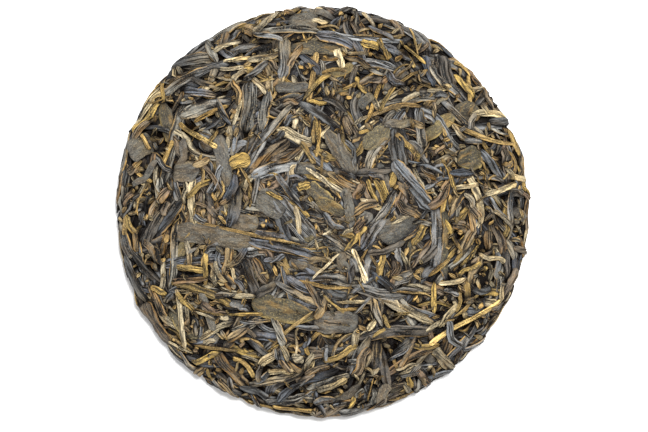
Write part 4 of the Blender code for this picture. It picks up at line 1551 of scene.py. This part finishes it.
def wear_and_shade_group() -> bpy.types.NodeTree:
    """Colour changes over a dried leaf, with painted shade and highlights, each laid over the last.

    Rib tones, lines and specks change the tint's lightness, and each rib's height adds a painted
    highlight on its crest and painted shade at its sides. Stains, dust, golden flecks and golden
    edges come over it, then painted shade in folds and creases, and last the painted shade of
    covered places, undersides and the wide fold, and the painted deep shade of deep places.

    Returns:
        The group, which takes the tint, the gilt and shade, ribs and grain and gives the leaf's
        colour with its painted shade and highlights.
    """
    tree, sheet, into, out = new_group(
        "dried_leaf_wear_and_shade",
        {
            "Tint": ("NodeSocketColor", (0.1, 0.1, 0.1, 1.0)),
            "Gilt And Shade": ("NodeSocketColor", (0.0, 0.0, 0.0, 1.0)),
            "Tone": ("NodeSocketFloat", 0.5),
            "Fold": ("NodeSocketFloat", 0.0),
            "Height": ("NodeSocketFloat", 0.5),
            "Lines": ("NodeSocketFloat", 0.5),
            "Blotch": ("NodeSocketFloat", 0.5),
            "Speck": ("NodeSocketFloat", 0.0),
            "Stain": ("NodeSocketFloat", 0.0),
            "Crease": ("NodeSocketFloat", 0.0),
            "Gold": ("NodeSocketColor", (0.35, 0.22, 0.08, 1.0)),
            "Dust": ("NodeSocketColor", (0.20, 0.17, 0.12, 1.0)),
            "Rust": ("NodeSocketColor", (0.17, 0.10, 0.04, 1.0)),
            "Staining": ("NodeSocketFloat", 0.4),
            "Dusting": ("NodeSocketFloat", 0.3),
            "Line Depth": ("NodeSocketFloat", 0.4),
            "Rib Tone And Ridge Light": ("NodeSocketFloat", 0.4),
            "Painted Fold Shade": ("NodeSocketFloat", 0.8),
            "Speck Depth": ("NodeSocketFloat", 0.2),
            "Painted Crease Shade": ("NodeSocketFloat", 0.3),
        },
        {"Colour": "NodeSocketColor"},
    )
    take = into.outputs
    gilt_and_shade = sheet.add("ShaderNodeSeparateColor", {0: take["Gilt And Shade"]}).outputs
    # Painted highlight on each rib's crest and painted shade at its sides, from the rib's height, mixed
    # with each rib's own tone.
    tone_and_ridge_light = sheet.maths("ADD", take["Tone"], sheet.maths("MULTIPLY", take["Height"], 0.6))
    ribbed = sheet.maths("MULTIPLY", sheet.maths("SUBTRACT", tone_and_ridge_light, 0.95), take["Rib Tone And Ridge Light"])
    lined = sheet.maths("MULTIPLY", sheet.maths("SUBTRACT", take["Lines"], 0.5), take["Line Depth"])
    specked = sheet.maths("MULTIPLY", sheet.maths("SUBTRACT", take["Speck"], 0.35), take["Speck Depth"])
    uneven = sheet.maths("ADD", specked, sheet.maths("ADD", ribbed, lined))
    factor = sheet.maths("ADD", 1.0, sheet.maths("MULTIPLY", 2.0, uneven))
    toned = sheet.add("ShaderNodeVectorMath", {0: take["Tint"], 3: factor}, operation="SCALE").outputs[0]
    stained = sheet.blend(sheet.maths("MULTIPLY", take["Stain"], take["Staining"]), toned, take["Rust"])
    blotched = sheet.blend(sheet.maths("MULTIPLY", take["Blotch"], take["Dusting"]), stained, take["Dust"])
    flecked = sheet.blend(sheet.maths("MULTIPLY", take["Speck"], take["Dusting"]), blotched, take["Gold"])
    broken = sheet.maths("MULTIPLY", gilt_and_shade[0], sheet.ramp(take["Blotch"], 0.05, 0.45, 0.35, 1.0))
    edged = sheet.blend(broken, flecked, take["Gold"])
    # Painted shade in the folds and creases, kept off the golden edges.
    dark = sheet.maths("MULTIPLY", sheet.maths("MULTIPLY", take["Fold"], take["Painted Fold Shade"]),
                       sheet.maths("SUBTRACT", 1.0, broken))
    fold_shaded = sheet.blend(dark, edged, (0.012, 0.010, 0.008, 1.0))
    crease_shaded = sheet.blend(sheet.maths("MULTIPLY", take["Crease"], take["Painted Crease Shade"]), fold_shaded,
                          (0.015, 0.013, 0.010, 1.0))
    # Painted shade of covered places, undersides and the wide fold, then painted deep shade by depth.
    shaded = sheet.blend(sheet.maths("MULTIPLY", gilt_and_shade[1], 0.96), crease_shaded, (0.004, 0.003, 0.003, 1.0))
    deep = sheet.blend(sheet.maths("MULTIPLY", gilt_and_shade[2], 0.96), shaded, (0.002, 0.001, 0.001, 1.0))
    sheet.tree.links.new(deep, out.inputs["Colour"])
    return tree


@dataclass(frozen=True)
class LeafFinish:
    """Surface of one kind of dried leaf.

    Gold colours its edges and flecks, dust its blotches and rust its stains. Fineness is the scale
    of its lines to a millimetre, the depths are the strengths of what they name, and roughness goes
    from its darkest line to its lightest. Rib tone and ridge light is the strength of each rib's own
    tone and of the painted highlight on its crest, and fold and crease shade are the strengths of
    the painted shade in folds and creases and of their depth in the bump.
    """

    name: str
    gold: Shade = (158, 124, 70)
    dust: Shade = (120, 112, 92)
    rust: Shade = (140, 110, 62)
    staining: float = 0.45
    dusting: float = 0.3
    fineness: float = 1.1
    line_depth: float = 0.45
    rib_tone_and_ridge_light: float = 0.78
    fold_shade_and_depth: float = 0.95
    speck_depth: float = 0.60
    crease_shade_and_depth: float = 0.40
    roughness: Span = (0.45, 0.70)
    specular: float = 0.18
    bump: float = 1.0
    bump_distance: float = 0.0007
    full_line_depth: float = 0.4
    fine_bump: float = 0.3

    def material(self, ribs: bpy.types.NodeTree, grain: bpy.types.NodeTree,
                 wear: bpy.types.NodeTree) -> bpy.types.Material:
        """The kind's material, with the three groups placed in it.

        Args:
            ribs: The group of lengthwise ribs.
            grain: The group of lines, blotches, specks, stains and creases.
            wear: The group that colours the leaf and paints its shade and highlights.

        Returns:
            The material.
        """
        material = bpy.data.materials.new(self.name)
        material.use_nodes = True
        sheet = Sheet(material.node_tree)
        shader = material.node_tree.nodes["Principled BSDF"]
        tint = sheet.add("ShaderNodeAttribute", attribute_name="tint").outputs["Color"]
        gilt_and_shade = sheet.add("ShaderNodeAttribute", attribute_name="gilt_and_shade").outputs["Color"]
        rolls = sheet.add("ShaderNodeGroup", node_tree=ribs).outputs
        lines = sheet.add("ShaderNodeGroup", node_tree=grain)
        lines.inputs["Fineness"].default_value = self.fineness
        colour = sheet.add("ShaderNodeGroup", node_tree=wear)
        for name, value in (("Gold", self.gold), ("Dust", self.dust), ("Rust", self.rust)):
            colour.inputs[name].default_value = (*linear(np.array(value)), 1.0)
        for name, value in (("Staining", self.staining), ("Dusting", self.dusting),
                            ("Line Depth", self.line_depth), ("Rib Tone And Ridge Light", self.rib_tone_and_ridge_light),
                            ("Painted Fold Shade", self.fold_shade_and_depth), ("Speck Depth", self.speck_depth),
                            ("Painted Crease Shade", self.crease_shade_and_depth)):
            colour.inputs[name].default_value = value
        links = material.node_tree.links
        sockets = {"Tint": tint, "Gilt And Shade": gilt_and_shade}
        sockets |= {name: rolls[name] for name in ("Tone", "Fold", "Height")}
        sockets |= {name: lines.outputs[name] for name in ("Lines", "Blotch", "Speck", "Stain", "Crease")}
        for name, socket in sockets.items():
            links.new(socket, colour.inputs[name])
        links.new(colour.outputs[0], shader.inputs["Base Color"])
        rough = sheet.ramp(lines.outputs["Lines"], 0.0, 1.0, *self.roughness)
        links.new(rough, shader.inputs["Roughness"])
        rise = sheet.maths("MULTIPLY", rolls["Height"], self.fold_shade_and_depth)
        speck = sheet.maths("MULTIPLY", lines.outputs["Speck"], 0.5)
        crease = sheet.maths("MULTIPLY", lines.outputs["Crease"], self.crease_shade_and_depth)
        lined = sheet.maths("MULTIPLY", lines.outputs["Lines"], self.line_depth / self.full_line_depth)
        grained = sheet.maths("SUBTRACT", sheet.maths("ADD", lined, speck), crease)
        fine = sheet.maths("MULTIPLY", grained, self.fine_bump)
        bump = sheet.add("ShaderNodeBump", {"Strength": self.bump, "Distance": self.bump_distance,
                                            "Height": sheet.maths("ADD", rise, fine)})
        links.new(bump.outputs[0], shader.inputs["Normal"])
        shader.inputs["Specular IOR Level"].default_value = self.specular
        return material


FINISHES: dict[Kind, LeafFinish] = {
    Kind.DARK: LeafFinish("charred_leaf", dust=(100, 104, 104), staining=0.10, dusting=0.15,
                          roughness=(0.5, 0.75)),
    Kind.OLIVE: LeafFinish("olive_leaf", gold=(150, 130, 80), dust=(80, 76, 66), dusting=0.5,
                           fineness=1.0, line_depth=0.06, rib_tone_and_ridge_light=0.10, fold_shade_and_depth=0.25,
                           speck_depth=0.60, crease_shade_and_depth=0.45, roughness=(0.55, 0.8), specular=0.12),
    Kind.FLAT: LeafFinish("flat_leaf", gold=(132, 116, 86), dust=(102, 102, 96), staining=0.15,
                          dusting=0.4, fineness=1.0, line_depth=0.06, rib_tone_and_ridge_light=0.10, fold_shade_and_depth=0.30,
                          speck_depth=0.60, crease_shade_and_depth=0.45, roughness=(0.5, 0.75)),
    Kind.BROWN: LeafFinish("brown_leaf", gold=(164, 124, 66), dust=(116, 106, 88), rust=(148, 110, 54)),
    Kind.SLATE: LeafFinish("slate_leaf", gold=(172, 138, 80), dust=(106, 110, 110), staining=0.12,
                           dusting=0.25, roughness=(0.45, 0.70), specular=0.22),
    Kind.TAN: LeafFinish("tan_leaf", gold=(184, 156, 100), dust=(110, 102, 86), dusting=0.35,
                         fineness=1.6, line_depth=0.30, rib_tone_and_ridge_light=0.32, fold_shade_and_depth=0.70),
    Kind.GOLD: LeafFinish("golden_leaf", gold=(190, 160, 100), dust=(112, 98, 70), dusting=0.4,
                          fineness=1.6, line_depth=0.30, rib_tone_and_ridge_light=0.32, fold_shade_and_depth=0.70),
    Kind.BUD: LeafFinish("pale_bud", gold=(200, 172, 114), dust=(150, 140, 118), fineness=2.2,
                         rib_tone_and_ridge_light=0.25, crease_shade_and_depth=0.2, roughness=(0.6, 0.85), specular=0.15),
    Kind.STALK: LeafFinish("golden_stalk", gold=(204, 170, 100), dust=(132, 104, 62), dusting=0.35,
                           fineness=2.2, rib_tone_and_ridge_light=0.25, fold_shade_and_depth=0.5, crease_shade_and_depth=0.2,
                           roughness=(0.45, 0.7)),
    Kind.THREAD: LeafFinish("leaf_thread", gold=(186, 150, 88), dust=(104, 84, 58), dusting=0.35,
                            fineness=1.8, rib_tone_and_ridge_light=0.25, fold_shade_and_depth=0.5),
    Kind.CRUMB: LeafFinish("leaf_crumb", gold=(176, 138, 74), dusting=0.4, speck_depth=0.40,
                           roughness=(0.55, 0.8), specular=0.12),
}
PACKED_FINISH = LeafFinish("packed_leaf", rib_tone_and_ridge_light=0.2, fold_shade_and_depth=0.3, roughness=(0.8, 0.95),
                           specular=0.0)


@dataclass
class Studio:
    """Plain pale floor, soft light and the camera over the cake."""

    lens: float = 100.0
    sensor: float = 36.0
    photo_width: int = 648
    photo_height: int = 432
    cake_pixel: tuple[float, float] = (323.2, 211.8)
    pixel: float = 0.0004833
    rim_height: float = 0.008
    floor_reach: float = 3.0
    floor_gap: float = 0.0002
    key_power: float = 21.5
    key_size: float = 0.30
    key_place: tuple[float, float, float] = (0.15, 0.29, 1.03)
    sky: float = 0.73

    def camera(self) -> None:
        """Puts the camera straight above, so that the cake lies where the photograph has it."""
        data = bpy.data.cameras.new("camera")
        data.lens, data.sensor_width = self.lens, self.sensor
        data.clip_start, data.clip_end = 0.01, 20.0
        camera = bpy.data.objects.new("camera", data)
        distance = self.photo_width * self.pixel * self.lens / self.sensor
        camera.location = (
            (self.photo_width / 2 - self.cake_pixel[0]) * self.pixel,
            (self.cake_pixel[1] - self.photo_height / 2) * self.pixel,
            distance + self.rim_height,
        )
        bpy.context.scene.collection.objects.link(camera)
        bpy.context.scene.camera = camera

    def floor(self) -> None:
        """A wide pale floor with a barely uneven tone."""
        mesh = bpy.data.meshes.new("floor")
        reach, height = self.floor_reach, -self.floor_gap
        mesh.from_pydata([(-reach, -reach, height), (reach, -reach, height), (reach, reach, height),
                          (-reach, reach, height)], [], [(0, 1, 2, 3)])
        floor = bpy.data.objects.new("floor", mesh)
        bpy.context.scene.collection.objects.link(floor)
        material = bpy.data.materials.new("pale_floor")
        material.use_nodes = True
        sheet = Sheet(material.node_tree)
        shader = material.node_tree.nodes["Principled BSDF"]
        place = sheet.add("ShaderNodeTexCoord").outputs["Object"]
        noise = sheet.add("ShaderNodeTexNoise", {"Vector": place, "Scale": 3.0, "Detail": 2.0}).outputs[0]
        tone = sheet.blend(noise, (0.90, 0.90, 0.90, 1.0), (0.93, 0.93, 0.93, 1.0))
        material.node_tree.links.new(tone, shader.inputs["Base Color"])
        shader.inputs["Roughness"].default_value = 0.9
        shader.inputs["Specular IOR Level"].default_value = 0.1
        mesh.materials.append(material)
        floor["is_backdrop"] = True

    def lights(self) -> None:
        """A soft key light from the top right and an even white sky."""
        data = bpy.data.lights.new("key", "AREA")
        data.energy, data.size = self.key_power, self.key_size
        key = bpy.data.objects.new("key", data)
        key.location = self.key_place
        x, y, z = self.key_place
        key.rotation_euler = (math.atan2(math.hypot(x, y), z), 0.0, math.atan2(x, -y))
        bpy.context.scene.collection.objects.link(key)
        world = bpy.data.worlds.new("sky")
        world.use_nodes = True
        sky = world.node_tree.nodes["Background"]
        sky.inputs["Color"].default_value = (1.0, 1.0, 1.0, 1.0)
        sky.inputs["Strength"].default_value = self.sky
        bpy.context.scene.world = world
        bpy.context.scene.view_settings.view_transform = "Standard"

    def build(self) -> None:
        """Sets up the camera, the floor and the lights."""
        self.camera()
        self.floor()
        self.lights()


def fit_to_frame(pieces: dict[str, MeshParts], low: Array, high: Array) -> None:
    """Moves and stretches all pieces as one, by under three parts in a hundred, into the solid's box.

    What reaches below the floor is first raised to it.

    Args:
        pieces: The arrays of every piece, whose points are changed.
        low: Lowest corner of the solid.
        high: Highest corner of the solid.
    """
    for part in pieces.values():
        part.points[:, 2] = np.maximum(part.points[:, 2], 0.0)
    lowest = np.min([part.points.min(axis=0) for part in pieces.values()], axis=0)
    highest = np.max([part.points.max(axis=0) for part in pieces.values()], axis=0)
    scale = (high - low) / (highest - lowest)
    LOG.info("pile fitted to the solid's box by %s", np.round(scale, 4))
    for part in pieces.values():
        part.points[:] = low + (part.points - lowest) * scale


def main() -> None:
    """Builds the studio and the cake, and reports each piece."""
    logging.basicConfig(level=logging.INFO, format="%(name)s: %(message)s")
    solid_low, solid_high = (np.array(corner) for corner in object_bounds())
    Studio().build()
    form = CakeForm()
    leaves = TeaLeaves(form)
    pieces = leaves.build()
    pieces["packed_core"] = Core(form, leaves.piles).build()
    fit_to_frame(pieces, solid_low, solid_high)
    groups = rib_group(), grain_group(), wear_and_shade_group()
    materials = {kind.value: finish.material(*groups) for kind, finish in FINISHES.items()}
    packed = PACKED_FINISH.material(*groups)
    for name, parts in pieces.items():
        kind = name.rsplit("_", 1)[0]
        piece = make_object(name, parts, rounded=kind != Kind.CRUMB.value)
        piece.data.materials.append(materials.get(kind, packed))
        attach(piece, BODY)
        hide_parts(NODE)
        faces = 2 * len(parts.quads) + len(parts.triangles)
        LOG.info("%s: %d triangles", name, faces)


if __name__ == "__main__":
    main()
